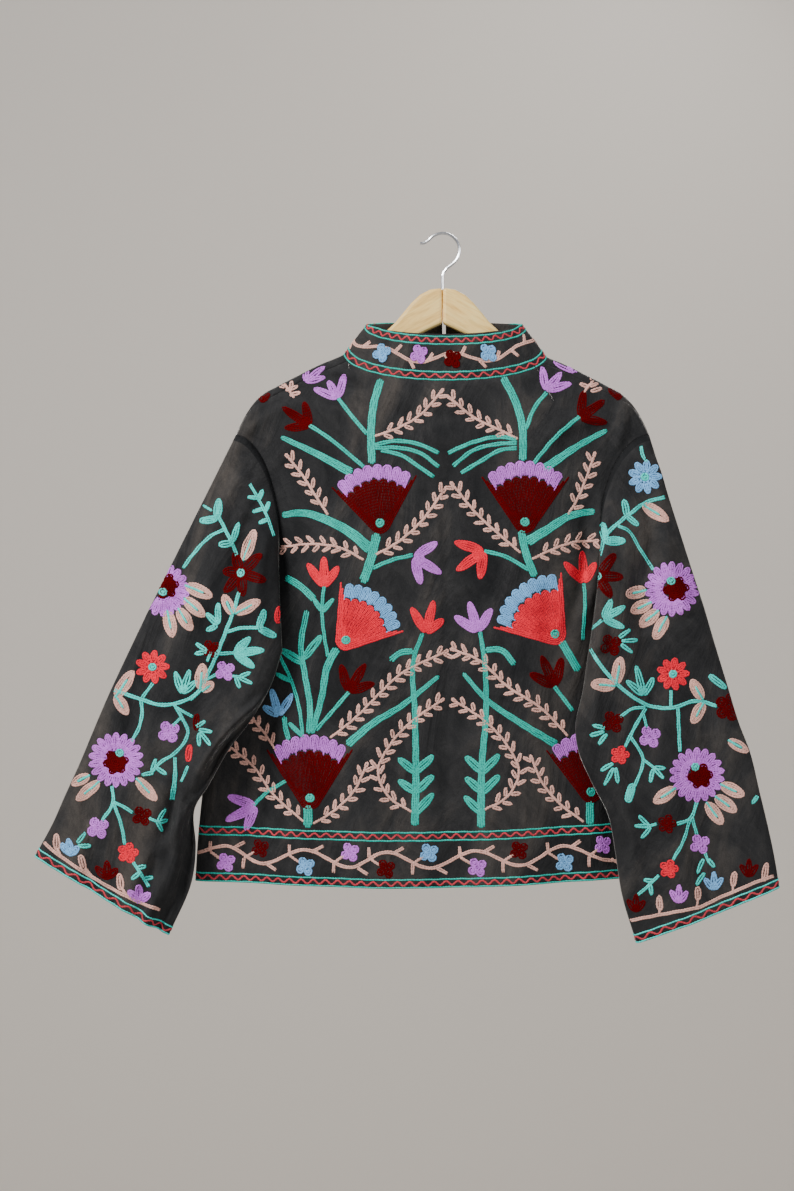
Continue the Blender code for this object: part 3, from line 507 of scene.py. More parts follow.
# Soft creases that only the looks have. Each row: from x, z, to x, z, bow to the left of the
# way, half width, height; a trough is negative.
creaseSettings = {
    "strength": 2.6,
    "fadeIn": (-0.15, 0.2),           # in shares of a crease's length
    "fadeOut": (0.75, 1.15),
    "firstWidth": 0.8,
    "widening": 0.4,
}
creaseRows = {
    "back": [
        (-0.135, -0.150, -0.100, -0.171, 0.003, 0.0042, 0.0016),
        (-0.128, -0.163, -0.088, -0.186, 0.004, 0.0050, -0.0014),
        (-0.190, -0.200, -0.120, -0.215, 0.010, 0.0110, 0.0016),
        (-0.176, -0.300, -0.130, -0.470, -0.012, 0.0110, 0.0024),
        (-0.165, -0.390, -0.185, -0.560, 0.010, 0.0100, -0.0026),
        (-0.118, -0.250, -0.085, -0.420, -0.010, 0.0150, -0.0012),
        (-0.060, -0.205, 0.050, -0.210, -0.006, 0.0110, -0.0012),
        (-0.070, -0.230, 0.060, -0.236, -0.008, 0.0130, 0.0010),
        (0.000, -0.230, 0.002, -0.700, 0.003, 0.0030, -0.0009),
        (0.185, -0.215, 0.120, -0.235, -0.008, 0.0085, 0.0024),
        (0.180, -0.300, 0.150, -0.460, 0.012, 0.0090, 0.0030),
        (0.162, -0.330, 0.135, -0.480, 0.008, 0.0095, -0.0026),
        (0.120, -0.400, 0.150, -0.620, -0.010, 0.0140, -0.0016),
        (0.040, -0.480, 0.050, -0.700, 0.004, 0.0160, 0.0014),
        (-0.040, -0.500, -0.055, -0.720, -0.004, 0.0170, -0.0014),
        (-0.200, -0.540, -0.150, -0.690, 0.014, 0.0120, 0.0018),
        (-0.240, -0.640, -0.215, -0.730, 0.004, 0.0090, -0.0020),
    ],
    "front": [
        (-0.185, -0.240, -0.110, -0.320, -0.012, 0.0120, 0.0018),
        (-0.170, -0.330, -0.150, -0.520, 0.010, 0.0140, -0.0020),
        (-0.080, -0.260, -0.060, -0.480, -0.008, 0.0150, 0.0016),
        (-0.090, -0.420, -0.100, -0.700, 0.008, 0.0160, -0.0018),
        (-0.210, -0.520, -0.200, -0.710, -0.008, 0.0120, 0.0020),
        (0.185, -0.235, 0.105, -0.310, 0.012, 0.0130, 0.0018),
        (0.165, -0.350, 0.150, -0.540, -0.010, 0.0130, -0.0020),
        (0.075, -0.280, 0.065, -0.500, 0.008, 0.0150, 0.0016),
        (0.095, -0.440, 0.105, -0.690, -0.008, 0.0160, -0.0018),
        (0.215, -0.530, 0.210, -0.700, 0.008, 0.0120, 0.0020),
    ],
    "sleeveLeft": [
        (-0.252, -0.215, -0.300, -0.330, -0.006, 0.0090, 0.0022),
        (-0.215, -0.262, -0.262, -0.380, -0.014, 0.0130, 0.0026),
        (-0.206, -0.300, -0.232, -0.430, -0.012, 0.0090, -0.0026),
        (-0.198, -0.345, -0.205, -0.470, -0.008, 0.0070, 0.0022),
        (-0.300, -0.360, -0.350, -0.520, 0.012, 0.0140, -0.0018),
        (-0.265, -0.420, -0.330, -0.560, -0.016, 0.0150, 0.0020),
        (-0.235, -0.470, -0.290, -0.600, -0.010, 0.0120, -0.0020),
        (-0.330, -0.560, -0.400, -0.700, 0.014, 0.0160, 0.0020),
        (-0.198, -0.528, -0.272, -0.611, -0.006, 0.0055, 0.0040),
        (-0.208, -0.545, -0.264, -0.612, -0.006, 0.0050, -0.0034),
        (-0.238, -0.577, -0.283, -0.655, 0.004, 0.0050, 0.0036),
        (-0.283, -0.655, -0.302, -0.774, 0.004, 0.0055, -0.0038),
        (-0.272, -0.611, -0.329, -0.712, 0.008, 0.0065, 0.0026),
        (-0.318, -0.700, -0.338, -0.790, 0.004, 0.0060, 0.0022),
        (-0.300, -0.620, -0.345, -0.760, 0.006, 0.0060, -0.0022),
    ],
    "sleeveRight": [
        (0.250, -0.218, 0.285, -0.330, 0.006, 0.0090, 0.0022),
        (0.205, -0.238, 0.255, -0.300, 0.012, 0.0085, 0.0042),
        (0.196, -0.262, 0.235, -0.400, 0.020, 0.0095, -0.0040),
        (0.186, -0.300, 0.205, -0.420, 0.012, 0.0080, 0.0026),
        (0.250, -0.330, 0.300, -0.480, -0.012, 0.0150, 0.0020),
        (0.215, -0.420, 0.235, -0.580, 0.012, 0.0130, -0.0022),
        (0.180, -0.450, 0.170, -0.560, -0.006, 0.0080, 0.0026),
        (0.300, -0.500, 0.330, -0.680, -0.010, 0.0150, -0.0018),
        (0.245, -0.600, 0.265, -0.780, 0.008, 0.0150, 0.0020),
        (0.205, -0.640, 0.215, -0.720, 0.004, 0.0090, 0.0018),
    ],
}


def creases(x, z, rows):
    settings = creaseSettings
    total = np.zeros(np.broadcast(x, z).shape)
    for fromX, fromZ, toX, toZ, bow, halfWidth, height in rows:
        wayX, wayZ = toX - fromX, toZ - fromZ
        length = math.hypot(wayX, wayZ)
        t = ((x - fromX) * wayX + (z - fromZ) * wayZ) / length**2
        across = ((x - fromX) * wayZ - (z - fromZ) * wayX) / length
        across = across + bow * np.sin(np.pi * np.clip(t, 0.0, 1.0))
        ends = smoothStep(*settings["fadeIn"], t) * (1 - smoothStep(*settings["fadeOut"], t))
        widening = settings["firstWidth"] + settings["widening"] * np.clip(t, 0.0, 1.0)
        total = total + height * ends * bell(across, halfWidth * widening)
    return total * settings["strength"]


def backDepth(x, z):
    middle = 1 - smoothStep(jacket["backFullHalf"], jacket["backFallHalf"], np.abs(x))
    deep = through(z, column(jacket["backDepths"], 0), column(jacket["backDepths"], 1))
    side = jacket["backSideDepth"]
    return side + (deep - side) * middle + flutes(x, z, jacket["backFlutes"])


def frontDepth(x, z):
    thinner, fromX, toX = jacket["frontThinning"]
    depth = jacket["frontDepth"] - thinner * smoothStep(fromX, toX, np.abs(x))
    return depth + flutes(x, z, jacket["frontFlutes"])


def bodyY(x, z, front):
    radius = jacket["foldRadius"]
    below = np.maximum(ridgeHeight(x) - radius - z, 0.0)
    full = np.where(front, frontDepth(x, z), backDepth(x, z))
    y = radius + (full - radius) * (1 - np.exp(-below / jacket["depthGrowth"]))
    settled = smoothStep(0.0, jacket["creaseStart"], below)
    backCrease = shoulderCreases(x, z) * settled
    fine = [creases(x, z, creaseRows[side]) for side in ("front", "back")]
    y = y + np.where(front, *fine) * settled
    y = np.where(front, y, -y - backCrease)
    edge = sideX(z, x) - np.abs(x)
    return jacket["sideY"] + (y - jacket["sideY"]) * rounded(edge / jacket["sideRounding"])


def bodyPoints(x, level, front):
    radius = jacket["foldRadius"]
    ridge = ridgeHeight(x)
    way = ridge - level
    front = np.where(way < 0, not front, front)
    way = np.abs(way)
    sign = np.where(front, 1.0, -1.0)
    angle = np.minimum(way, quarter) / radius
    bent = np.stack([x, sign * radius * np.sin(angle), ridge - radius * (1 - np.cos(angle))], axis=-1)
    z = ridge - radius - way + quarter
    hanging = np.stack([x, bodyY(x, z, front), z], axis=-1)
    return np.where((way < quarter)[..., None], bent, hanging)


def laidOut(x, z):
    radius = jacket["foldRadius"]
    x, z = np.broadcast_arrays(np.asarray(x, float), np.asarray(z, float))
    ridge = ridgeHeight(x)
    drop = np.maximum(ridge - z, 0.0)
    bent = ridge - radius * np.arccos(np.clip(1 - drop / radius, -1.0, 1.0))
    return np.stack([x, np.where(drop < radius, bent, z - quarter + radius)], axis=-1)


def overTheTop(points):  # the same points seen from the other side of the shoulder line
    return np.stack([points[..., 0], 2 * ridgeHeight(points[..., 0]) - points[..., 1]], axis=-1)


def neckEdge(angles):
    angles = np.asarray(angles, float)
    sines = np.sin(angles)
    x = jacket["neckMiddle"] + jacket["neckHalf"] * sines
    side = np.where(sines < 0, -1.0, 1.0)
    sideZ = ridgeHeight(jacket["neckMiddle"] + side * jacket["neckHalf"])
    middleZ = np.where(np.abs(angles) <= math.pi / 2, jacket["neckBackZ"], jacket["neckFrontZ"])
    return x, sideZ + (middleZ - sideZ) * np.abs(np.cos(angles))


def alongLine(points, shares):
    points = np.asarray(points, float)
    knots = lengthsAlong(points)
    fine = np.linspace(0, knots[-1], jacket["edgePoints"])
    dense = np.stack([through(fine, knots, points[:, k]) for k in (0, 1)], axis=1)
    lengths = lengthsAlong(dense)
    return pointsAt(np.asarray(shares) * lengths[-1], lengths, dense).T


def armhole(table, right, inset):
    if not right:
        return table
    last = len(table) - 1
    return [(-x - inset * math.sin(math.pi * i / last), z) for i, (x, z) in enumerate(table)]


def sideEdge(table, armRows, right, inset=0.0):
    sign = 1 if right else -1
    armX, armZ = alongLine(armhole(table, right, inset), armRows)
    hemX = float(sideX(jacket["hemZ"], sign)) * sign
    shares = finer([0.0, *jacket["sideRows"]], jacket["finerRows"])[1:]
    z = armZ[-1] + (float(hemHeight(hemX)) - armZ[-1]) * shares
    return np.concatenate([armX, sideX(z, sign) * sign]), np.concatenate([armZ, z])


def rowShares(armRows):
    shares = finer([0.0, *jacket["sideRows"]], jacket["finerRows"])[1:]
    share = jacket["armShare"]
    return np.concatenate([share * armRows, share + (1 - share) * shares])


def filled(top, bottom, left, right, across, down):  # a grid between four edges of (x, level)
    u = np.asarray(across)[None, :, None]
    v = np.asarray(down)[:, None, None]
    w = 1 - smoothStep(0.0, jacket["topEdgeReach"], v)
    acrossEdges = (1 - u) * left[:, None] + u * right[:, None]
    topCorners = (1 - u) * top[0] + u * top[-1]
    bottomCorners = (1 - u) * bottom[0] + u * bottom[-1]
    return acrossEdges + w * (top[None] - topCorners) + v * (bottom[None] - bottomCorners)


def shoulderEdge(side, shares):
    neckX, neckZ = (float(v) for v in neckEdge(side * jacket["seamAngle"]))
    x = side * jacket["shoulderX"] + (neckX - side * jacket["shoulderX"]) * shares
    drop = jacket["seamDrop"] * (1 - smoothStep(jacket["seamRiseX"], jacket["shoulderX"], np.abs(x)))
    toNeck = float(ridgeHeight(neckX)) - neckZ - jacket["seamDrop"]
    drop = drop + toNeck * smoothStep(jacket["seamToNeck"], 1.0, shares)
    return laidOut(x, ridgeHeight(x) - drop)


def backGrid():
    columns = finer(jacket["shoulderColumns"], jacket["finerColumns"])
    neckSteps = jacket["neckColumns"] * jacket["finerColumns"]
    outer = columns * jacket["shoulderShare"]
    middle = np.linspace(outer[-1], 1 - outer[-1], neckSteps + 1)[1:-1]
    across = np.concatenate([outer, middle, 1 - outer[::-1]])
    angles = np.linspace(-jacket["seamAngle"], jacket["seamAngle"], neckSteps + 1)
    neck = laidOut(*neckEdge(angles))
    top = np.concatenate([shoulderEdge(-1, columns)[:-1], neck, shoulderEdge(1, columns)[:-1][::-1]])
    armRows = finer(jacket["backArmRows"], jacket["finerRows"])
    edges = [
        laidOut(*sideEdge(jacket["armholeBack"], armRows, right, jacket["rightArmholeInset"]))
        for right in (False, True)
    ]
    hemLeft, hemRight = -float(sideX(jacket["hemZ"], -1)), float(sideX(jacket["hemZ"], 1))
    hemX = hemLeft + (hemRight - hemLeft) * across
    grid = filled(top, laidOut(hemX, hemHeight(hemX)), edges[0], edges[1], across, rowShares(armRows))
    return bodyPoints(grid[..., 0], grid[..., 1], False)


def frontNeckAngles():
    last = math.pi - math.asin(jacket["frontGapNeck"] / 2 / jacket["neckHalf"])
    return finer([*np.radians(jacket["frontNeckAngles"]), last], jacket["finerRows"])


def frontGrid(right):  # from its armhole and side to its neck and middle edge
    sign = 1 if right else -1
    across = finer(jacket["shoulderColumns"], jacket["finerColumns"])
    top = overTheTop(shoulderEdge(sign, across))
    armRows = finer(jacket["frontArmRows"], jacket["finerRows"])
    outer = laidOut(*sideEdge(jacket["armholeFront"], armRows, right))
    angles = frontNeckAngles()
    neck = laidOut(*neckEdge(sign * angles))
    inner = np.where((angles < math.pi / 2)[:, None], overTheTop(neck), neck)
    down = rowShares(armRows)
    last = len(inner) - 1
    hemX = sign * jacket["frontGapHem"] / 2 + jacket["neckMiddle"]
    end = laidOut(hemX, hemHeight(hemX))
    shares = ((down[last + 1:] - down[last]) / (1 - down[last]))[:, None]
    inner = np.concatenate([inner, inner[last] + (end - inner[last]) * shares])
    hemOuter = sign * float(sideX(jacket["hemZ"], sign))
    bottomX = hemOuter + (hemX - hemOuter) * across
    grid = filled(top, laidOut(bottomX, hemHeight(bottomX)), outer, inner, across, down)
    return bodyPoints(grid[..., 0], grid[..., 1], True)


collarSettings = {
    "topMiddle": 0.002,
    "topHalf": 0.0895,
    "topSideZ": -0.1035,
    "topBackZ": -0.1170,
    "topFrontZ": -0.0985,
    "topBackY": -0.0235,
    "topFrontY": 0.0180,
    "dipPower": 1.3,
    "roundPower": 0.9,
    "swell": 0.0012,
    "swellSide": 0.5,
    "rows": 16,
}


def collarGrid(back, fronts):
    settings = collarSettings
    first = (len(jacket["shoulderColumns"]) - 1) * jacket["finerColumns"]
    neckSteps = jacket["neckColumns"] * jacket["finerColumns"]
    frontAngles = frontNeckAngles()[1:]
    count = len(frontAngles)
    base = np.concatenate([
        fronts[False][1:count + 1, -1][::-1],
        back[0, first:first + neckSteps + 1],
        fronts[True][1:count + 1, -1],
    ])
    backAngles = np.linspace(-jacket["seamAngle"], jacket["seamAngle"], neckSteps + 1)
    angles = np.concatenate([-frontAngles[::-1], backAngles, frontAngles])
    cosines = np.cos(angles)
    middleZ = np.where(cosines > 0, settings["topBackZ"], settings["topFrontZ"])
    depth = np.where(cosines > 0, settings["topBackY"], settings["topFrontY"])
    x = settings["topMiddle"] + settings["topHalf"] * np.sin(angles)
    endGap = jacket["frontGapNeck"] / 2
    x[0], x[-1] = settings["topMiddle"] - endGap, settings["topMiddle"] + endGap
    z = settings["topSideZ"] + (middleZ - settings["topSideZ"]) * np.abs(cosines) ** settings["dipPower"]
    top = np.stack([x, depth * np.abs(cosines) ** settings["roundPower"], z], axis=1)
    outward = np.stack([np.sin(angles) * settings["swellSide"], -cosines, np.zeros(len(angles))], axis=1)
    shares = np.linspace(1, 0, settings["rows"] + 1)[:, None, None]
    return base + (top - base) * shares + outward * settings["swell"] * np.sin(np.pi * shares)


# Sleeves. Each row is a ring: outer edge x, z; inner edge x, z; depth of the middle at the
# outer and at the inner edge; half thickness; the underarm seam's angle past the inner edge.
# Each fold: first ring, last ring, share of the width at each, half width, height.
sleeves = {
    "leftRings": [
        (-0.3364, -0.4327, -0.1823, -0.4776, -0.017, -0.033, 0.0160, 1.85),
        (-0.3525, -0.4672, -0.1961, -0.5190, -0.020, -0.034, 0.0160, 1.65),
        (-0.3686, -0.5017, -0.2191, -0.5581, -0.022, -0.035, 0.0165, 1.35),
        (-0.3847, -0.5374, -0.2432, -0.5903, -0.024, -0.036, 0.0170, 0.95),
        (-0.3996, -0.5730, -0.2651, -0.6294, -0.025, -0.036, 0.0175, 0.80),
        (-0.4134, -0.6064, -0.2823, -0.6593, -0.026, -0.035, 0.0175, 0.70),
        (-0.4307, -0.6443, -0.2805, -0.7030, -0.026, -0.034, 0.0170, 0.60),
        (-0.4445, -0.6754, -0.2870, -0.7460, -0.026, -0.033, 0.0165, 0.50),
        (-0.4640, -0.7110, -0.3110, -0.7996, -0.026, -0.032, 0.0160, 0.45),
    ],
    "rightRings": [
        (0.2984, -0.4293, 0.1639, -0.4834, -0.017, -0.033, 0.0170, 1.95),
        (0.3099, -0.4695, 0.1581, -0.5236, -0.019, -0.034, 0.0165, 1.80),
        (0.3226, -0.5121, 0.1501, -0.5604, -0.021, -0.035, 0.0160, 1.55),
        (0.3364, -0.5581, 0.1535, -0.5926, -0.022, -0.035, 0.0155, 1.00),
        (0.3502, -0.5949, 0.1696, -0.6294, -0.023, -0.035, 0.0150, 0.90),
        (0.3605, -0.6386, 0.1869, -0.6639, -0.024, -0.035, 0.0150, 0.80),
        (0.3709, -0.6823, 0.1949, -0.7053, -0.024, -0.034, 0.0150, 0.70),
        (0.3778, -0.7168, 0.2030, -0.7559, -0.025, -0.034, 0.0150, 0.60),
        (0.3824, -0.7467, 0.2190, -0.8088, -0.026, -0.033, 0.0150, 0.55),
    ],
    "squareness": 0.62,
    "headRings": 30,
    "ringsBetween": 8,
    "headRoll": 0.013,
    "headRollPower": 0.6,
    "headRollShape": 1.5,
    "headCreaseFull": 0.2,
    "headRollEnd": (0.78, 0.95),
    "headFoldsFrom": -4.0,
    "headFoldSpan": 0.68,
    "headWidth": 0.15,
    "foldFade": 0.25,
    "foldEdgeFade": 3.0,
    "foldFarSide": 0.4,
    "foldStrength": 1.35,
    "clearanceRun": 0.010,
    "bodyClearance": 0.0085,
    "leftFolds": [
        (1.0, 8.0, 0.90, 0.84, 0.012, 0.0050), (2.4, 8.0, 0.96, 0.915, 0.011, -0.0070),
        (-3.0, 3.0, 0.55, 0.62, 0.020, 0.0035), (5.6, 8.0, 0.10, 0.42, 0.012, -0.0045),
        (5.2, 7.4, 0.02, 0.30, 0.010, 0.0040), (0.0, 4.5, 0.34, 0.26, 0.018, -0.0030),
        (4.4, 8.0, 0.83, 0.77, 0.0060, -0.0040), (4.8, 8.0, 0.90, 0.875, 0.0050, 0.0030),
        (4.0, 8.0, 0.70, 0.66, 0.0090, 0.0026), (5.0, 8.0, 0.95, 0.955, 0.0040, 0.0034),
    ],
    "rightFolds": [
        (-4.0, 1.0, 0.62, 0.74, 0.018, 0.0040), (0.0, 5.0, 0.88, 0.82, 0.014, 0.0034),
        (1.0, 7.0, 0.30, 0.36, 0.020, -0.0028), (4.0, 8.0, 0.66, 0.60, 0.018, 0.0030),
    ],
}


def foldHeight(ring, share, width, table):
    fade = sleeves["foldFade"]
    lastRing = len(sleeves["leftRings"]) - 1
    total = 0.0
    for first, last, shareFirst, shareLast, half, height in table:
        t = (ring - first) / (last - first)
        if t < -fade or t > 1 + fade:
            continue
        ends = smoothStep(-fade, fade, t)
        if last < lastRing:
            ends *= 1 - smoothStep(1 - fade, 1 + fade, t)
        middle = shareFirst + (shareLast - shareFirst) * min(max(t, 0.0), 1.0)
        total = total + height * ends * bell((share - middle) * width, half)
    return total * sleeves["foldStrength"]


def ringPoints(row, ring, backShares, frontShares, folds, lines):
    outerX, outerZ, innerX, innerZ, outerY, innerY, half, seam = row
    seamAngle = math.pi + seam
    under = seamAngle + (2 * math.pi - seamAngle) * (1 - frontShares[1:-1][::-1])
    angles = np.concatenate([seamAngle * backShares, under])
    width = math.hypot(innerX - outerX, innerZ - outerZ)
    share = (1 - np.cos(angles)) / 2
    sine = np.sin(angles)
    thick = half * np.copysign(np.abs(sine) ** sleeves["squareness"], sine)
    x = outerX + (innerX - outerX) * share
    z = outerZ + (innerZ - outerZ) * share
    y = outerY + (innerY - outerY) * smoothStep(0.0, 1.0, share) - thick
    lift = foldHeight(ring, share, width, folds) + creases(x, z, lines)
    lift = lift * np.minimum(1.0, np.abs(sine) * sleeves["foldEdgeFade"])
    y = y + np.where(sine > 0, -lift, sleeves["foldFarSide"] * lift)
    return np.stack([x, y, z], axis=1)


def beforeBody(points, seamPoints, sign):  # keeps a sleeve's near half on the viewer's side of the body
    x, y, z = points.T
    away = np.linalg.norm(points - seamPoints, axis=1)
    clear = sleeves["bodyClearance"] * np.minimum(1.0, away / sleeves["clearanceRun"])
    nearest = bodyY(x, z, False) - clear
    beside = np.abs(x) > sideX(z, sign)
    return np.stack([x, np.where(beside, y, np.minimum(y, nearest)), z], axis=1)


def sleeveGrid(back, front, right):
    backShares = finer(jacket["backArmRows"], jacket["finerRows"])
    frontShares = finer(jacket["frontArmRows"], jacket["finerRows"])
    near = len(backShares)
    backEdge = back[:near, -1 if right else 0]
    frontEdge = front[:len(frontShares), 0]
    armholeRing = np.concatenate([backEdge, frontEdge[1:-1][::-1]])
    table = sleeves["rightRings" if right else "leftRings"]
    folds = sleeves["rightFolds" if right else "leftFolds"]
    lines = creaseRows["sleeveRight" if right else "sleeveLeft"]
    first = ringPoints(table[0], 0, backShares, frontShares, folds, lines)
    share = np.concatenate([backShares, np.zeros(len(armholeRing) - near)])
    rings = [armholeRing]
    for blend in np.linspace(0, 1, sleeves["headRings"])[1:-1]:
        ring = armholeRing + (first - armholeRing) * blend
        swell = np.abs(np.sin(np.pi * share)) ** sleeves["headRollShape"]
        roll = sleeves["headRoll"] * math.sin(math.pi * blend ** sleeves["headRollPower"]) * swell
        ring[:, 1] -= roll * (1 - smoothStep(*sleeves["headRollEnd"], share))
        place = sleeves["headFoldsFrom"] * (1 - blend)
        lift = foldHeight(place, share / sleeves["headFoldSpan"], sleeves["headWidth"], folds)
        lift = lift * math.sin(math.pi * blend)
        settled = smoothStep(0.0, sleeves["headCreaseFull"], blend)
        lift = lift + creases(ring[:, 0], ring[:, 2], lines) * settled
        ring[:, 1] -= np.where(share > 0, lift, 0.0)
        clear = beforeBody(ring, armholeRing, 1 if right else -1)
        rings.append(np.where((share > 0)[:, None], clear, ring))
    rings.append(first)
    places = np.arange(len(table))
    for place in finer(places, sleeves["ringsBetween"])[1:]:
        row = [float(through(place, places, column(table, k))) for k in range(8)]
        rings.append(ringPoints(row, place, backShares, frontShares, folds, lines))
    return np.array(rings)


def gridFaces(rows, columns, closed, flip):
    r = np.arange(rows - 1)[:, None]
    c = np.arange(columns if closed else columns - 1)[None, :]
    d = (c + 1) % columns
    corners = [r * columns + c, (r + 1) * columns + c, (r + 1) * columns + d, r * columns + d]
    faces = np.stack(corners, axis=-1).reshape(-1, 4)
    return faces[:, ::-1] if flip else faces


def applyModifiers(piece):
    bpy.ops.object.select_all(action="DESELECT")
    piece.select_set(True)
    bpy.context.view_layer.objects.active = piece
    for name in [m.name for m in piece.modifiers]:
        bpy.ops.object.modifier_apply(modifier=name)


def makeCloth(name, grid, closed, flip, wall):
    rows, columns = grid.shape[:2]
    mesh = bpy.data.meshes.new(name)
    mesh.from_pydata(grid.reshape(-1, 3).tolist(), [], gridFaces(rows, columns, closed, flip).tolist())
    if closed:  # the row beside the armhole seam takes the darker velvet without sheen: painted seam shade
        for index in range(columns):
            mesh.polygons[index].material_index = 1
    mesh.shade_smooth()
    mesh.materials.append(velvet)
    # Second slot: the darker velvet of painted shade.
    mesh.materials.append(paintedShadeVelvet)
    piece = bpy.data.objects.new(name, mesh)
    bpy.context.scene.collection.objects.link(piece)
    thick = piece.modifiers.new("clothWall", "SOLIDIFY")
    thick.thickness = wall
    thick.offset = -1
    thick.use_even_offset = True
    # The cut edges take the darker velvet without sheen: painted shade in place of a sheen line.
    thick.material_offset_rim = 1
    thick.thickness_clamp = jacket["wallClamp"]
    applyModifiers(piece)
    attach(piece, "root")
    return piece


backSurface = backGrid()
fronts = {right: frontGrid(right) for right in (False, True)}
sleeveTubes = {right: sleeveGrid(backSurface, fronts[right], right) for right in (False, True)}
panels = {}
for name, grid, closed, flip, node in (
    ("back", backSurface, False, False, "back"),
    ("frontLeft", fronts[False], False, True, "front_left"),
    ("frontRight", fronts[True], False, False, "front_right"),
    ("collar", collarGrid(backSurface, fronts), False, False, "collar"),
    ("sleeveLeft", sleeveTubes[False], True, False, "sleeve_left"),
    ("sleeveRight", sleeveTubes[True], True, True, "sleeve_right"),
):
    panels[name] = {"grid": grid, "closed": closed, "flip": flip, "node": node}
for name, panel in panels.items():
    wall = jacket["collarWall" if name == "collar" else "wall"]
    panel["piece"] = makeCloth(name + "Velvet", panel["grid"], panel["closed"], panel["flip"], wall)
    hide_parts(panel["node"])
print("velvet hung")

# Embroidery: rows of chain stitch laid on the cloth. Places and lengths are in pixels of the
# photograph, 1.15 mm each, with rows of pixels counted downwards.
sewing = {
    "rowWidth": 2.6,
    "rowSpacing": 1.95,
    "ringStep": 1.45,          # half of a stitch
    "shortestRow": 1.5,
    "fewestRings": 4,
    "bandSlack": 0.01,
    "widthRange": (0.94, 1.06),
    "phaseRange": (0, 6.28),
    "wobble": 0.16,
    "wobbleRates": (0.41, 0.37),
    "edgeOn": -0.05,           # cloth that is turned away more than this isn't sewn
    "curveStep": 1.2,
    "curvePoints": 9,          # of the shortest curve
    "height": 0.00105,         # metres
    "sunk": 0.0003,
    "lift": 0.0005,            # of rows that lie on other rows
    "across": (-1.0, -0.62, 0.0, 0.62, 1.0),
    "domed": (0.0, 0.74, 1.0, 0.74, 0.0),
    "waist": 0.76,             # width between two stitches, against their middle
    "dip": 0.58,
    "endWidth": 0.7,           # of a row's first and last ring
    "endHeight": 0.6,
}
sewn = {}                      # (panel, colour): rows, each points, normals, half widths and lift
hand = random.Random(11)


def seenSurface(*names):  # the cloth of some panels as the camera sees it; the first keeps the stitches
    points, faces = [], []
    for name in names:
        grid = panels[name]["grid"]
        found = gridFaces(*grid.shape[:2], panels[name]["closed"], panels[name]["flip"])
        faces += (found + len(points)).tolist()
        points += grid.reshape(-1, 3).tolist()
    tree = BVHTree.FromPolygons(points, faces)
    eye = Vector(camera.location)

    def place(line):
        points, normals, found = [], [], []
        for column, row in line:
            way = (onPlane(column, row) - eye).normalized()
            hit, normal, _, _ = tree.ray_cast(eye, way)
            seen = hit is not None and normal.dot(way) < sewing["edgeOn"]
            found.append(seen)
            points.append(hit if seen else (0, 0, 0))
            normals.append(normal if seen else (0, -1, 0))
        return np.array(points), np.array(normals), np.array(found)

    return {"panel": names[0], "place": place}


def bandSurface(name, rowsUp):  # (along the lower edge, minus the way up from it)
    panel = panels[name]
    grid = panel["grid"][-rowsUp:][::-1]
    if panel["closed"]:
        grid = np.concatenate([grid, grid[:, :1]], axis=1)
    normals = np.cross(np.gradient(grid, axis=0), np.gradient(grid, axis=1))
    normals *= (1 if panel["flip"] else -1) / np.linalg.norm(normals, axis=2, keepdims=True)
    pixel = cameraSettings["pixel"]
    steps = np.linalg.norm(np.diff(grid[0], axis=0), axis=1) / pixel
    along = np.concatenate([[0], np.cumsum(steps)])
    climbs = np.linalg.norm(np.diff(grid, axis=0), axis=2) / pixel
    up = np.concatenate([np.zeros((1, grid.shape[1])), np.cumsum(climbs, axis=0)])
    levels = np.arange(grid.shape[0])

    def place(line):
        s, h = line[:, 0], -line[:, 1]
        if panel["closed"]:
            s = s % along[-1]
        found = (s >= -sewing["bandSlack"]) & (s <= along[-1] + sewing["bandSlack"]) & (h >= 0)
        at = np.interp(s, along, np.arange(len(along)))
        left = np.minimum(at.astype(int), len(along) - 2)
        f = at - left
        heights = up[:, left] * (1 - f) + up[:, left + 1] * f
        level = np.array([np.interp(one, heights[:, k], levels) for k, one in enumerate(h)])
        low = np.minimum(level.astype(int), len(levels) - 2)
        f, g = f[:, None], (level - low)[:, None]

        def mixed(values):
            first = values[low, left] * (1 - f) + values[low, left + 1] * f
            second = values[low + 1, left] * (1 - f) + values[low + 1, left + 1] * f
            return first * (1 - g) + second * g

        return mixed(grid), mixed(normals), found

    eye = camera.location
    reach = (grid[0, :, 1] - eye.y) / -eye.y
    columns = cameraSettings["hookPixel"][0] + ((grid[0, :, 0] - eye.x) / reach + eye.x) / pixel
    return {
        "panel": name,
        "place": place,
        "length": float(along[-1]),
        "along": along,
        "columns": columns,
        "height": up[-1],
    }


def evened(values):
    padded = np.concatenate([values[:1], values[:1], values, values[-1:], values[-1:]])
    smooth = sum(padded[k:k + len(values)] for k in range(5))
    return smooth / np.linalg.norm(smooth, axis=1, keepdims=True)


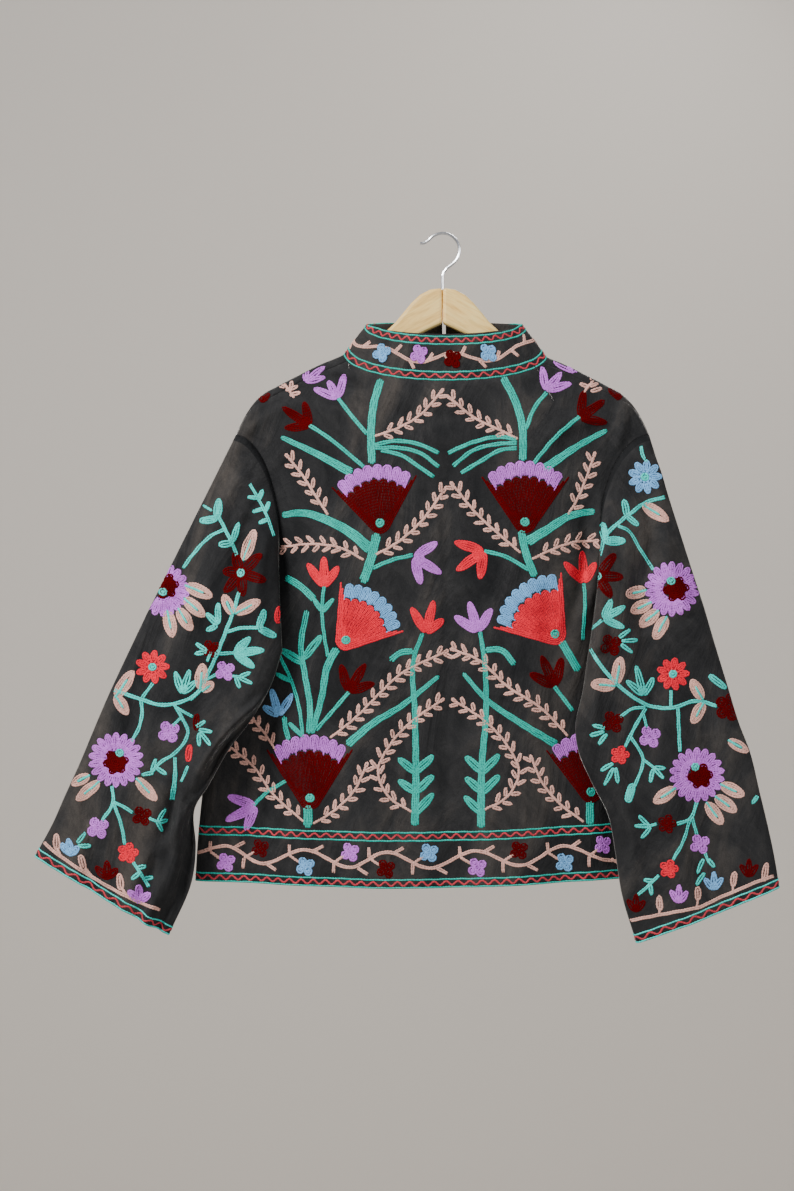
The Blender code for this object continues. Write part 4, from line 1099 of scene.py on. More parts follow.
def sew(surface, colour, line, width=None, lift=0.0, keep=None):
    line = np.asarray(line, float)
    lengths = lengthsAlong(line)
    if lengths[-1] < sewing["shortestRow"]:
        return
    count = max(sewing["fewestRings"], int(round(lengths[-1] / sewing["ringStep"])) + 1)
    at = np.linspace(0, lengths[-1], count)
    even = pointsAt(at, lengths, line)
    phase = hand.uniform(*sewing["phaseRange"])
    rateX, rateY = sewing["wobbleRates"]
    even += sewing["wobble"] * np.stack([np.sin(at * rateX + phase), np.cos(at * rateY + phase)], axis=1)
    points, normals, found = surface["place"](even)
    if keep:
        found = found & keep(even)
    width = sewing["rowWidth"] if width is None else width
    halves = np.interp(at, lengths, width) if np.ndim(width) else np.full(count, width)
    halves = halves * hand.uniform(*sewing["widthRange"]) * cameraSettings["pixel"] / 2
    start = None
    for i in range(count + 1):
        good = i < count and found[i]
        if good and start is None:
            start = i
        if not good and start is not None:
            if i - start > 2:
                rows = sewn.setdefault((surface["panel"], colour), [])
                rows.append((points[start:i], evened(normals[start:i]), halves[start:i], lift))
            start = None


def curve(points):  # a smooth line through a few places
    points = np.asarray(points, float)
    knots = lengthsAlong(points)
    at = np.linspace(0, knots[-1], max(sewing["curvePoints"], int(knots[-1] / sewing["curveStep"])))
    if len(points) == 2:
        return pointsAt(at, knots, points)
    return np.stack([through(at, knots, points[:, k]) for k in (0, 1)], axis=1)


def towards(angle):  # degrees clockwise from up
    return np.array([math.sin(math.radians(angle)), -math.cos(math.radians(angle))])


def sideways(line):
    way = np.gradient(line, axis=0)
    way /= np.linalg.norm(way, axis=1, keepdims=True)
    return np.stack([-way[:, 1], way[:, 0]], axis=1)


stemSettings = {
    "rounding": 1.3,          # how much shorter the outer rows are
    "overlap": 1.34,
}


def sewStem(surface, colour, points, width, endWidth=None):
    settings = stemSettings
    line = curve(points)
    across = sideways(line)
    widths = np.linspace(width, endWidth or width, len(line))
    count = max(1, int(round(widths.max() / sewing["rowSpacing"])))
    for i in range(count):
        offset = (i + 0.5) / count - 0.5
        cut = int(round(offset * offset * width * settings["rounding"]))
        row = line + across * (widths * offset)[:, None]
        spans = widths / count * settings["overlap"]
        if cut:
            row, spans = row[cut:-cut], spans[cut:-cut]
        if len(row) > 2:
            sew(surface, colour, row, spans)


leafSettings = {
    "points": 15,
    "skew": 0.9,              # under 1, the widest place is nearer to the base
    "leastLoop": 0.9,         # half width of the innermost loop
    "leastVein": -0.6,
    "veinRoom": 2,
    "startBack": 2.2,         # how far a plain leaf starts inside its stem
    "roundness": 0.36,
}


def leafLine(base, way, length, half, roundness):
    t = np.linspace(0, 1, leafSettings["points"])
    profile = (np.sin(np.pi * t ** leafSettings["skew"]) ** roundness * half)[:, None]
    side = np.array([-way[1], way[0]])
    middle = base + way * (t * length)[:, None]
    return np.concatenate([middle - side * profile, (middle + side * profile)[::-1][1:]])


def sewLeaf(surface, colour, base, tip, width, roundness, lift=0.0, loops=9, keep=None):
    settings = leafSettings
    base, tip = np.asarray(base, float), np.asarray(tip, float)
    length = float(np.linalg.norm(tip - base))
    way = (tip - base) / length
    inset = sewing["rowSpacing"] / 2
    made = 0
    while width / 2 - inset > settings["leastLoop"] and made < loops:
        line = leafLine(base + way * inset, way, length - 2 * inset, width / 2 - inset, roundness)
        sew(surface, colour, line, None, lift, keep)
        inset += sewing["rowSpacing"]
        made += 1
    roomy = width / 2 - inset > settings["leastVein"] and length > 2 * inset + settings["veinRoom"]
    if roomy and made < loops:
        sew(surface, colour, [base + way * inset, tip - way * inset], None, lift, keep)


dotSettings = {
    "ringPoints": 9,          # of the smallest ring
    "pointsPerRadius": 5,
    "leastRing": 0.8,
    "middleHalf": (1, 0),
    "middleWidth": 2.2,
    "heartRadius": 4.3,       # of the small dots on other flowers
}


def ringLine(centre, radius):
    points = max(dotSettings["ringPoints"], int(radius * dotSettings["pointsPerRadius"]))
    turns = np.linspace(0, 2 * np.pi, points)
    return np.asarray(centre, float) + radius * np.stack([np.sin(turns), -np.cos(turns)], axis=1)


def sewDot(surface, colour, centre, radius, lift=0.0):
    left = radius - sewing["rowSpacing"] / 2
    while left > dotSettings["leastRing"]:
        sew(surface, colour, ringLine(centre, left), None, lift)
        left -= sewing["rowSpacing"]
    centre = np.asarray(centre, float)
    middle = [centre - dotSettings["middleHalf"], centre + dotSettings["middleHalf"]]
    sew(surface, colour, middle, dotSettings["middleWidth"], lift)


tulipSettings = {
    "leastWidth": 6.2,
    "widthShare": 0.33,       # of the flower's size
    "roundness": 0.5,
    "heartFrom": 5.5,         # narrower ones have no heart
    "heartPlace": 0.26,
    "heartShare": 0.62,
}


def sewTulip(surface, colour, base, tips, width=None):
    settings = tulipSettings
    base = np.asarray(base, float)
    tips = np.asarray(tips, float)
    size = np.linalg.norm(tips - base, axis=1).mean()
    width = width or max(settings["leastWidth"], size * settings["widthShare"])
    for tip in tips:
        sewLeaf(surface, colour, base, tip, width, settings["roundness"])
    if width > settings["heartFrom"]:
        heart = base + (tips.mean(axis=0) - base) * settings["heartPlace"]
        sewDot(surface, colour, heart, width * settings["heartShare"])


fernSettings = {
    "gap": 5.6,
    "firstGaps": 1.3,
    "lastRoom": 2,
    "stemWidth": 3.4,
    "stemSpan": 3,
    "leafStart": 1.2,
    "leafLength": 12.3,
    "leafWidth": 4.4,
    "roundness": 0.33,
    "tilt": 42,
    "tiltRange": (-5, 5),
    "lengthRange": (0.92, 1.08),
    "tipBack": 2,
    "tipLength": 5,
    "tipWidth": 0.9,
}


def sewFern(surface, colour, points):
    settings = fernSettings
    line = curve(points)
    sew(surface, colour, line, settings["stemWidth"])
    lengths = lengthsAlong(line)
    span, roundness = settings["stemSpan"], settings["roundness"]
    side = 1
    at = settings["gap"] * settings["firstGaps"]
    while at < lengths[-1] - settings["lastRoom"]:
        place, ahead, behind = (
            np.array([np.interp(min(x, lengths[-1]), lengths, line[:, k]) for k in (0, 1)])
            for x in (at, at + span, at - span)
        )
        way = ahead - behind
        tilt = side * settings["tilt"]
        angle = math.degrees(math.atan2(way[0], -way[1])) + tilt + hand.uniform(*settings["tiltRange"])
        base = place + towards(angle) * settings["leafStart"]
        tip = place + towards(angle) * (settings["leafLength"] * hand.uniform(*settings["lengthRange"]))
        sewLeaf(surface, colour, base, tip, settings["leafWidth"], roundness)
        side = -side
        at += settings["gap"]
    way = line[-1] - line[-4]
    way /= np.linalg.norm(way)
    base, tip = line[-1] - way * settings["tipBack"], line[-1] + way * settings["tipLength"]
    sewLeaf(surface, colour, base, tip, settings["leafWidth"] * settings["tipWidth"], roundness)


lobeSettings = {
    "overlap": 1.3,
    "leastLength": 2,
    "points": 16,
    "bowAngle": 72,
    "bowPoints": 7,
    "middleShort": 0.35,      # how far the middle row stays inside the round end
}


def sewLobe(surface, colour, apex, angle, halfTurn, inner, outer, keep=None):  # widens to a round end
    settings = lobeSettings
    turn = math.radians(halfTurn)
    end = outer * turn
    tracks = 2 * int(round(end / sewing["rowSpacing"] - 0.5)) + 1
    shoulder = outer - end
    spread = 2 * turn / tracks * settings["overlap"]
    if shoulder < inner + settings["leastLength"]:
        return
    radii = np.linspace(inner, shoulder, settings["points"])
    bow = np.radians(np.linspace(-settings["bowAngle"], settings["bowAngle"], settings["bowPoints"]))
    for pair in range(tracks // 2, 0, -1):
        share = 2 * pair / tracks
        forth = np.concatenate([radii, shoulder + end * share * np.cos(bow), radii[::-1]])
        side = np.concatenate([-radii * turn * share, end * share * np.sin(bow), radii[::-1] * turn * share])
        line = apex + forth[:, None] * towards(angle) + side[:, None] * towards(angle + 90)
        sew(surface, colour, line, np.minimum(forth, outer) * spread, 0.0, keep)
    forth = np.linspace(inner, outer - end * settings["middleShort"], settings["points"])
    sew(surface, colour, apex + forth[:, None] * towards(angle), forth * spread, 0.0, keep)


fanSettings = {
    "hornReach": 61.0,
    "reach": {"body": 44.5, "trim": 59.5},
    "sides": {"body": 0.91, "trim": 0.945},       # reach at the sides against the middle
    "lobes": {"body": 7, "trim": 8},
    "hornTurn": 4.6,
    "baseRadius": 11.0,
    "dotRadius": 4.6,
    "firstAngle": 35,
    "rounds": 30,
    "bodyStart": 3,
    "trimStart": 0.62,
    "lastLobe": 0.001,
    "trimGap": 0.2,
    "trimPast": 0.4,
    "nestedRows": 5,
    "hornRows": 3,
    "hornInset": 0.5,
    "hornStep": 6,
    "innerRows": 8,
    "arcPoints": 20,
}


def sewFan(surface, bodyColour, trimColour, centre, leftHorn, rightHorn):
    settings = fanSettings
    centre = np.asarray(centre, float)
    horns = [np.asarray(horn, float) - centre for horn in (leftHorn, rightHorn)]
    leftAngle, rightAngle = [math.degrees(math.atan2(horn[0], -horn[1])) for horn in horns]
    axis, span = (leftAngle + rightAngle) / 2, math.radians((rightAngle - leftAngle) / 2)
    reach = sum(np.linalg.norm(horn) for horn in horns) / 2
    scale = reach / settings["hornReach"]
    base = settings["baseRadius"] * scale
    half = math.radians(settings["firstAngle"])
    for _ in range(settings["rounds"]):  # the sides touch the round base and meet at the apex below it
        half = math.atan(reach * math.sin(span) / (reach * math.cos(span) + base / math.sin(half)))
    drop = base / math.sin(half)
    apex = centre - towards(axis) * drop
    hornReach = math.hypot(reach * math.sin(span), reach * math.cos(span) + drop)
    lane = math.degrees(half) - settings["hornTurn"]
    lobes = settings["lobes"]
    lobeTurn = {kind: lane / lobes[kind] for kind in lobes}

    def lobeReach(kind, turn):
        long = settings["reach"][kind] * scale + drop
        return long * (1 - (1 - settings["sides"][kind]) * (turn / lane) ** 2)

    def outsideBody(line):
        away = line - apex
        turns = (np.degrees(np.arctan2(away[:, 0], -away[:, 1])) - axis + 180) % 360 - 180
        place = np.clip((turns + lane) / (2 * lobeTurn["body"]), 0, lobes["body"] - settings["lastLobe"])
        across = 2 * (place - np.floor(place)) - 1
        end = lobeReach("body", 0) * math.radians(lobeTurn["body"])
        edge = lobeReach("body", turns) - end * (1 - np.sqrt(1 - across**2)) + settings["trimGap"]
        return (np.linalg.norm(away, axis=1) > edge) & (np.abs(turns) < lane + settings["trimPast"])

    inner = drop + settings["bodyStart"]
    for kind, colour in (("body", bodyColour), ("trim", trimColour)):
        for k in range(lobes[kind]):
            turn = (2 * k + 1) * lobeTurn[kind] - lane
            outer = lobeReach(kind, turn)
            start, keep = (inner, None) if kind == "body" else (outer * settings["trimStart"], outsideBody)
            sewLobe(surface, colour, apex, axis + turn, lobeTurn[kind], start, outer, keep)
    for k in range(settings["nestedRows"]):  # round the base, the outer ones from horn to horn
        radius = base - (k + 0.5) * sewing["rowSpacing"]
        if radius < 1:
            break
        toHorn = hornReach - settings["hornInset"] - k * settings["hornStep"]
        long = toHorn if k < settings["hornRows"] else inner + settings["innerRows"]
        sides = []
        for side in (-1, 1):
            edge = axis + side * math.degrees(half)
            foot = centre + towards(edge + side * 90) * radius
            gone = np.linalg.norm(centre - apex) * math.cos(half)
            sides.append([foot, foot + towards(edge) * (long - gone)])
        start, stop = axis - math.degrees(half) - 90, axis + math.degrees(half) + 90 - 360
        arc = [centre + towards(turn) * radius for turn in np.linspace(start, stop, settings["arcPoints"])]
        sew(surface, bodyColour, [sides[0][1], sides[0][0], *arc, sides[1][0], sides[1][1]])
    sewDot(surface, "teal", centre, settings["dotRadius"], sewing["lift"])


flowerSettings = {
    "twist": 14,
    "baseShare": 0.56,
    "baseSunk": 0.0003,
    "petalPlace": 0.57,
    "fourPetals": 0.45,
    "morePetals": 0.38,
    "heartShare": 0.3,
}


def sewFlower(surface, colour, centre, radius, petals=4, turn=45, lift=0.0):  # round petals
    settings = flowerSettings
    sewDot(surface, colour, centre, radius * settings["baseShare"], lift - settings["baseSunk"])
    size = settings["fourPetals" if petals == 4 else "morePetals"]
    for k in range(petals):
        way = towards(turn + settings["twist"] + 360 * k / petals)
        place = np.asarray(centre, float) + way * radius * settings["petalPlace"]
        sewDot(surface, colour, place, radius * size, lift)
    sewDot(surface, colour, centre, radius * settings["heartShare"], lift)


daisySettings = {"petals": 9, "widthShare": 0.66, "twist": 8, "start": 0.2, "roundness": 0.42, "heart": 4.2}


def sewDaisy(surface, colour, centre, radius):
    settings = daisySettings
    petals = settings["petals"]
    centre = np.asarray(centre, float)
    width = 2 * math.pi * radius * settings["widthShare"] / petals
    for k in range(petals):
        way = towards(360 * k / petals + settings["twist"])
        sewLeaf(
            surface, colour, centre + way * radius * settings["start"], centre + way * radius,
            width, settings["roundness"],
        )
    sewDot(surface, "aqua", centre, settings["heart"], sewing["lift"])


rosetteSettings = {
    "petals": 18,
    "petalStart": 0.30,
    "petalPast": 0.6,
    "petalShape": (8.2, 0.32),        # width and roundness
    "rings": (14.2, 16.2),
    "heartClear": 9.4,
    "lobes": 6,
    "lobeTwist": 22,
    "lobeLength": 13.6,
    "lobeShape": (9.0, 0.36),
    "heartRadius": 9.2,
    "heartLift": 0.0007,
}


def sewRosette(surface, centre, radius, heart, dot):
    settings = rosetteSettings
    centre = np.asarray(centre, float)
    heart = np.asarray(heart, float)

    def offHeart(line):
        return np.linalg.norm(line - heart, axis=1) > settings["heartClear"]

    for k in range(settings["petals"]):
        way = towards(360 * k / settings["petals"])
        base = centre + way * radius * settings["petalStart"]
        tip = centre + way * (radius + settings["petalPast"])
        sewLeaf(surface, "lilac", base, tip, *settings["petalShape"], keep=offHeart)
    for ring in settings["rings"]:
        sew(surface, "lilac", ringLine(centre, ring), None, 0.0, offHeart)
    for k in range(settings["lobes"]):
        way = towards(360 // settings["lobes"] * k + settings["lobeTwist"])
        tip = heart + way * settings["lobeLength"]
        sewLeaf(surface, "maroon", heart, tip, *settings["lobeShape"], sewing["lift"])
    sewDot(surface, "maroon", heart, settings["heartRadius"], settings["heartLift"])
    sewDot(surface, "aqua", dot, dotSettings["heartRadius"], 2 * sewing["lift"])


veinedSettings = {"widthShare": 1.12, "roundness": 0.5, "loops": 3, "veinShare": 0.66, "veinWidth": 3.0}


def sewVeined(surface, base, tip, width):  # a pink leaf with a vein
    settings = veinedSettings
    base, tip = np.asarray(base, float), np.asarray(tip, float)
    width = width * settings["widthShare"]
    sewLeaf(surface, "pink", base, tip, width, settings["roundness"], loops=settings["loops"])
    vein = [base, base + (tip - base) * settings["veinShare"]]
    sew(surface, "aqua", vein, settings["veinWidth"], sewing["lift"])


def sewPlainLeaf(surface, colour, base, tip, width=4.6):  # it starts a little inside its stem
    base, tip = np.asarray(base, float), np.asarray(tip, float)
    back = (tip - base) / np.linalg.norm(tip - base) * leafSettings["startBack"]
    sewLeaf(surface, colour, base - back, tip, width, leafSettings["roundness"])


def sewPanel(surface, work):
    for colour, rows in work.get("stems", ()):
        for row in rows:
            sewStem(surface, colour, *row)
    for points in work.get("ferns", ()):
        sewFern(surface, "pink", points)
    for colour, rows in work.get("leaves", ()):
        for row in rows:
            sewPlainLeaf(surface, colour, *row)
    for sewMotif, motif in (
        (sewVeined, "veined"),
        (sewTulip, "tulips"),
        (sewFlower, "flowers"),
        (sewDaisy, "daisies"),
        (sewRosette, "rosettes"),
        (sewFan, "fans"),
    ):
        for row in work.get(motif, ()):
            sewMotif(surface, *row)
    for centre in work.get("dots", ()):
        sewDot(surface, "aqua", centre, dotSettings["heartRadius"], sewing["lift"])

# Motifs. Stems and leaves are grouped by colour. A stem: points, width, width at its end. A leaf:
# base, tip, width. The others start with their colour, if they have a choice of one.

# The back: two flowering stems, nearly mirrored, with a plain strip between them
backWork = {
    "stems": [
        ("teal", [
            ([(381, 379), (374, 403), (371, 433), (372, 464)], 7.5),
            ([(338, 398), (351, 415), (367, 434)], 4),
            ([(309, 425), (326, 436), (364, 467)], 4),
            ([(281, 437), (315, 453), (352, 473)], 4.5, 9),
            ([(374, 445), (395, 441), (418, 444), (439, 453)], 4),
            ([(375, 448), (400, 448), (420, 453), (439, 467)], 4),
            ([(381, 450), (403, 456), (418, 466), (434, 477)], 4),
            ([(282, 515), (303, 513), (329, 521), (351, 533), (371, 550)], 6, 11),
            ([(377, 533), (371, 559), (363, 583)], 9),
            ([(373, 568), (392, 560), (413, 555)], 4),
            ([(324, 586), (322, 610), (324, 634), (328, 657)], 3.6),
            ([(285, 577), (300, 586), (315, 600)], 7),
            ([(337, 648), (328, 665), (322, 696), (312, 734)], 8, 5),
            ([(309, 734), (310, 707), (305, 676), (301, 648), (307, 610)], 6),
            ([(349, 692), (331, 713), (316, 730)], 4),
            ([(279, 655), (291, 680), (299, 707), (303, 738)], 3.6),
            ([(284, 716), (286, 730), (289, 741)], 5),
            ([(308, 805), (308, 828)], 9),
            ([(347, 745), (372, 724), (400, 707), (439, 676)], 8, 4),
            ([(253, 806), (266, 793), (286, 781)], 3.6),
            ([(423, 633), (415, 654), (415, 715), (416, 763), (415, 826)], 4, 8),
            ([(414, 651), (400, 653), (390, 661)], 6),
            ([(503, 377), (515, 400), (522, 424), (523, 461)], 7.5),
            ([(547, 392), (535, 407), (526, 429)], 4),
            ([(580, 416), (555, 438), (533, 464)], 4),
            ([(607, 430), (578, 446), (544, 469)], 4.5, 9),
            ([(517, 439), (498, 437), (471, 443), (448, 453)], 4),
            ([(517, 443), (498, 444), (474, 450), (453, 466)], 4),
            ([(517, 448), (501, 450), (481, 461), (461, 473)], 4),
            ([(595, 511), (570, 516), (547, 530), (527, 542)], 6, 10),
            ([(521, 530), (526, 553), (535, 577)], 7.5),
            ([(484, 551), (504, 556), (529, 570)], 4),
            ([(584, 583), (585, 600), (583, 640)], 3.6),
            ([(561, 641), (579, 671)], 8),
            ([(480, 631), (484, 657), (486, 715), (482, 763), (481, 828)], 4, 8),
            ([(485, 650), (501, 650), (515, 665)], 6),
            ([(463, 673), (486, 699), (522, 724), (557, 745)], 4, 8),
            ([(554, 686), (573, 711)], 4),
            ([(590, 801), (590, 825)], 8),
        ]),
    ],
    "ferns": [
        [(375, 436), (400, 427), (420, 415), (441, 392)],
        [(328, 515), (315, 495), (303, 476), (288, 457)],
        [(364, 560), (341, 548), (311, 544), (282, 547)],
        [(375, 555), (395, 544), (418, 525), (443, 492)], [(276, 751), (265, 734), (253, 719)],
        [(304, 822), (272, 793), (253, 766), (230, 747)],
        [(330, 738), (354, 719), (381, 692), (398, 676), (445, 652)],
        [(313, 824), (335, 810), (354, 791), (366, 766)],
        [(412, 812), (389, 797), (378, 772), (390, 745), (411, 722), (441, 701)],
        [(518, 439), (500, 430), (475, 418), (451, 399)],
        [(568, 515), (578, 498), (587, 476), (594, 456)],
        [(521, 553), (501, 536), (478, 515), (453, 485)],
        [(532, 559), (556, 548), (575, 542), (595, 541)],
        [(568, 736), (542, 709), (507, 686), (477, 659), (454, 650)],
        [(484, 810), (507, 797), (519, 772), (507, 745), (486, 722), (455, 701)],
        [(584, 822), (559, 803), (542, 782), (532, 759)],
    ],
    "leaves": [
        ("teal", [
            ((322, 611), (313, 598), 5.5), ((323, 611), (334, 598), 5.5), ((303, 663), (280, 649), 8.5),
            ((304, 658), (322, 635), 8.5), ((290, 681), (275, 673), 5), ((301, 735), (288, 722), 5),
            ((415, 772), (398, 758), 8.5), ((416, 772), (434, 755), 8.5), ((415, 792), (398, 780), 8.5),
            ((416, 792), (434, 775), 8.5), ((416, 813), (434, 793), 8.5), ((482, 772), (465, 756), 8.5),
            ((483, 772), (500, 754), 8.5), ((482, 792), (465, 777), 8.5), ((483, 792), (500, 775), 8.5),
            ((481, 813), (464, 796), 8.5),
        ]),
    ],
    "tulips": [
        ("lilac", (338, 399), [(313, 388), (328, 380), (345, 373)]),
        ("maroon", (310, 426), [(282, 407), (304, 401), (284, 428)]),
        ("lilac", (414, 557), [(438, 542), (442, 574), (421, 585)]),
        ("coral", (324, 587), [(307, 563), (324, 556), (339, 566)]),
        ("maroon", (348, 692), [(341, 664), (366, 663), (375, 683)]),
        ("blue", (279, 716), [(262, 706), (271, 688), (293, 693)]),
        ("lilac", (256, 806), [(227, 796), (225, 821), (245, 831)]),
        ("coral", (426, 633), [(411, 607), (434, 600), (444, 619)]),
        ("lilac", (546, 391), [(542, 366), (562, 372), (572, 383)]),
        ("maroon", (580, 418), [(584, 390), (605, 400), (608, 423)]),
        ("coral", (484, 551), [(454, 542), (456, 571), (480, 580)]),
        ("coral", (584, 583), [(564, 562), (582, 550), (596, 562)]),
        ("lilac", (478, 632), [(454, 616), (469, 601), (492, 608)]),
        ("maroon", (555, 687), [(529, 673), (541, 655), (562, 657)]),
    ],
    "fans": [
        ("maroon", "lilac", (380, 523), (330, 487), (417, 476)),
        ("coral", "blue", (346, 640), (340, 580), (403, 632)),
        ("maroon", "lilac", (310, 798), (267, 751), (355, 748)),
        ("maroon", "lilac", (525, 522), (479, 475), (568, 479)),
        ("coral", "blue", (555, 634), (493, 628), (562, 572)),
        ("maroon", "lilac", (591, 792), (545, 750), (637, 751)),
    ],
}

# The strips of the fronts that lap over the shoulders
leftShoulderWork = {
    "tulips": [
        ("lilac", (305, 382), [(307, 363), (325, 366), (326, 377)], 7),
        ("maroon", (262, 402), [(258, 388), (270, 393)], 6),
    ],
    "ferns": [
        [(294, 398), (289, 390), (281, 380)],
    ],
    "leaves": [
        ("pink", [((287, 390), (299, 386), 4.4), ((291, 395), (301, 392), 4.4)]),
    ],
}
rightShoulderWork = {
    "tulips": [
        ("lilac", (574, 372), [(553, 361), (566, 359), (583, 364)], 7),
        ("maroon", (620, 400), [(608, 388), (620, 386)], 6),
    ],
    "ferns": [
        [(584, 393), (590, 384), (598, 377)],
    ],
    "leaves": [
        ("pink", [((588, 387), (579, 383), 4.4), ((592, 391), (603, 388), 4.4)]),
    ],
}

# The sleeves
leftSleeveWork = {
    "stems": [
        ("aqua", [
            ([(212, 511), (203, 505)], 2.6),
            ([(219, 517), (226, 531), (233, 545), (237, 556)], 3.6),
            ([(225, 529), (211, 536), (195, 552), (183, 568)], 3.6),
            ([(250, 484), (259, 500), (267, 516), (274, 536)], 3.2),
            ([(239, 592), (234, 610), (226, 631), (218, 652), (207, 676), (200, 690), (190, 700)], 3.8),
            ([(226, 632), (242, 628), (260, 628)], 3.6),
            ([(214, 654), (235, 653)], 3.6),
            ([(114, 690), (140, 699), (161, 705), (181, 702), (195, 695), (200, 690)], 3.8),
            ([(153, 683), (142, 698)], 3.4),
            ([(141, 699), (142, 714), (138, 730), (131, 742)], 3.6),
            ([(112, 786), (113, 802), (102, 821)], 3.4),
            ([(113, 802), (121, 824), (125, 845)], 3.4),
            ([(113, 802), (124, 807), (133, 813)], 3.4),
            ([(133, 862), (141, 874), (149, 887)], 3.4),
            ([(174, 704), (181, 716), (188, 733), (181, 747), (171, 756), (161, 762), (152, 772)], 3.4),
            ([(175, 757), (175, 778), (172, 800)], 3.0, 5.5),
            ([(177, 708), (193, 717)], 3.0),
            ([(188, 766), (181, 782)], 3.0),
            ([(181, 718), (172, 726)], 3.0),
            ([(207, 662), (211, 652)], 3.0),
            ([(206, 680), (217, 674)], 3.0),
            ([(232, 676), (240, 677)], 3.0),
            ([(149, 818), (158, 822)], 3.0),
        ]),
        ("pink", [
            ([
                (42, 840), (52, 850), (63, 858), (82, 871), (97, 880), (118, 892), (136, 901),
                (160, 910),
            ], 3.4),
            ([(61, 857), (57, 848)], 2.8),
            ([(93, 878), (85, 868)], 2.8),
            ([(128, 897), (121, 887)], 2.8),
        ]),
    ],
    "leaves": [
        ("aqua", [
            ((217, 518), (219, 498), 9), ((216, 519), (199, 521), 8), ((233, 541), (239, 522), 6.5),
            ((232, 543), (218, 545), 7.5), ((218, 623), (218, 602), 6.5), ((217, 624), (206, 613), 6.5),
            ((216, 626), (206, 631), 6), ((259, 628), (265, 609), 8), ((260, 629), (277, 637), 8),
            ((240, 677), (251, 672)), ((240, 678), (253, 684)), ((236, 678), (240, 689)),
            ((206, 650), (195, 643)), ((206, 652), (194, 654)), ((152, 772), (156, 758)),
            ((152, 773), (141, 775)), ((157, 768), (167, 775)), ((197, 726), (206, 721)),
            ((200, 730), (213, 732)), ((201, 733), (211, 746)), ((199, 734), (199, 747)),
            ((158, 822), (166, 808)), ((159, 822), (169, 820)), ((158, 823), (163, 832)),
            ((137, 868), (147, 866)), ((139, 873), (131, 880)), ((144, 879), (154, 877)),
            ((78, 842), (86, 832)), ((79, 846), (92, 846)),
        ]),
        ("pink", [
            ((57, 849), (56, 833), 7.5), ((84, 869), (80, 854), 7.5), ((121, 889), (119, 873), 7.5),
        ]),
        ("aqua", [
            ((257, 498), (247, 497), 4.8), ((262, 509), (252, 512), 4.8), ((267, 520), (258, 523), 4.8),
            ((259, 500), (263, 489), 4.8), ((265, 511), (270, 501), 4.8),
        ]),
        ("coral", [((278, 622), (279, 606), 8), ((188, 760), (190, 744), 7)]),
        ("maroon", [((196, 729), (197, 713), 7)]),
    ],
    "veined": [
        ((243, 561), (255, 529), 11), ((233, 615), (223, 594), 10), ((235, 614), (261, 600), 11),
        ((200, 690), (203, 663), 12), ((202, 692), (214, 682), 9), ((185, 585), (213, 597), 12),
        ((184, 598), (205, 617), 12), ((178, 608), (192, 631), 12), ((167, 610), (173, 638), 12),
        ((115, 698), (134, 670), 12), ((115, 695), (128, 715), 11), ((136, 778), (157, 801), 11),
        ((100, 781), (76, 801), 11), ((90, 775), (71, 785), 10),
    ],
    "tulips": [
        ("maroon", (241, 573), [
            (234, 552), (262, 553), (267, 581), (243, 597), (224, 593), (222, 571),
        ], 11),
        ("aqua", (234, 653), [(251, 637), (265, 650), (255, 668)], 9),
        ("aqua", (182, 694), [(175, 671), (190, 669), (198, 680)], 7.5),
        ("blue", (71, 855), [(60, 843), (68, 838), (79, 846)], 8),
        ("maroon", (107, 879), [(95, 866), (107, 860), (118, 868)], 8.5),
        ("lilac", (139, 902), [(128, 890), (139, 884), (151, 893)], 8.5),
    ],
    "flowers": [
        ("maroon", (211, 649), 9.5), ("lilac", (225, 671), 10.5), ("lilac", (98, 828), 11.5),
        ("maroon", (142, 816), 10.5), ("coral", (128, 853), 11.5, 5, 0), ("lilac", (169, 732), 11.5),
    ],
    "daisies": [
        ("coral", (152.5, 667), 17.5),
    ],
    "rosettes": [
        ((163, 590), 26.5, (166, 586), (163, 592)), ((116, 760), 27.5, (116, 762), (120, 753)),
    ],
    "dots": [
        (241, 573),
    ],
}
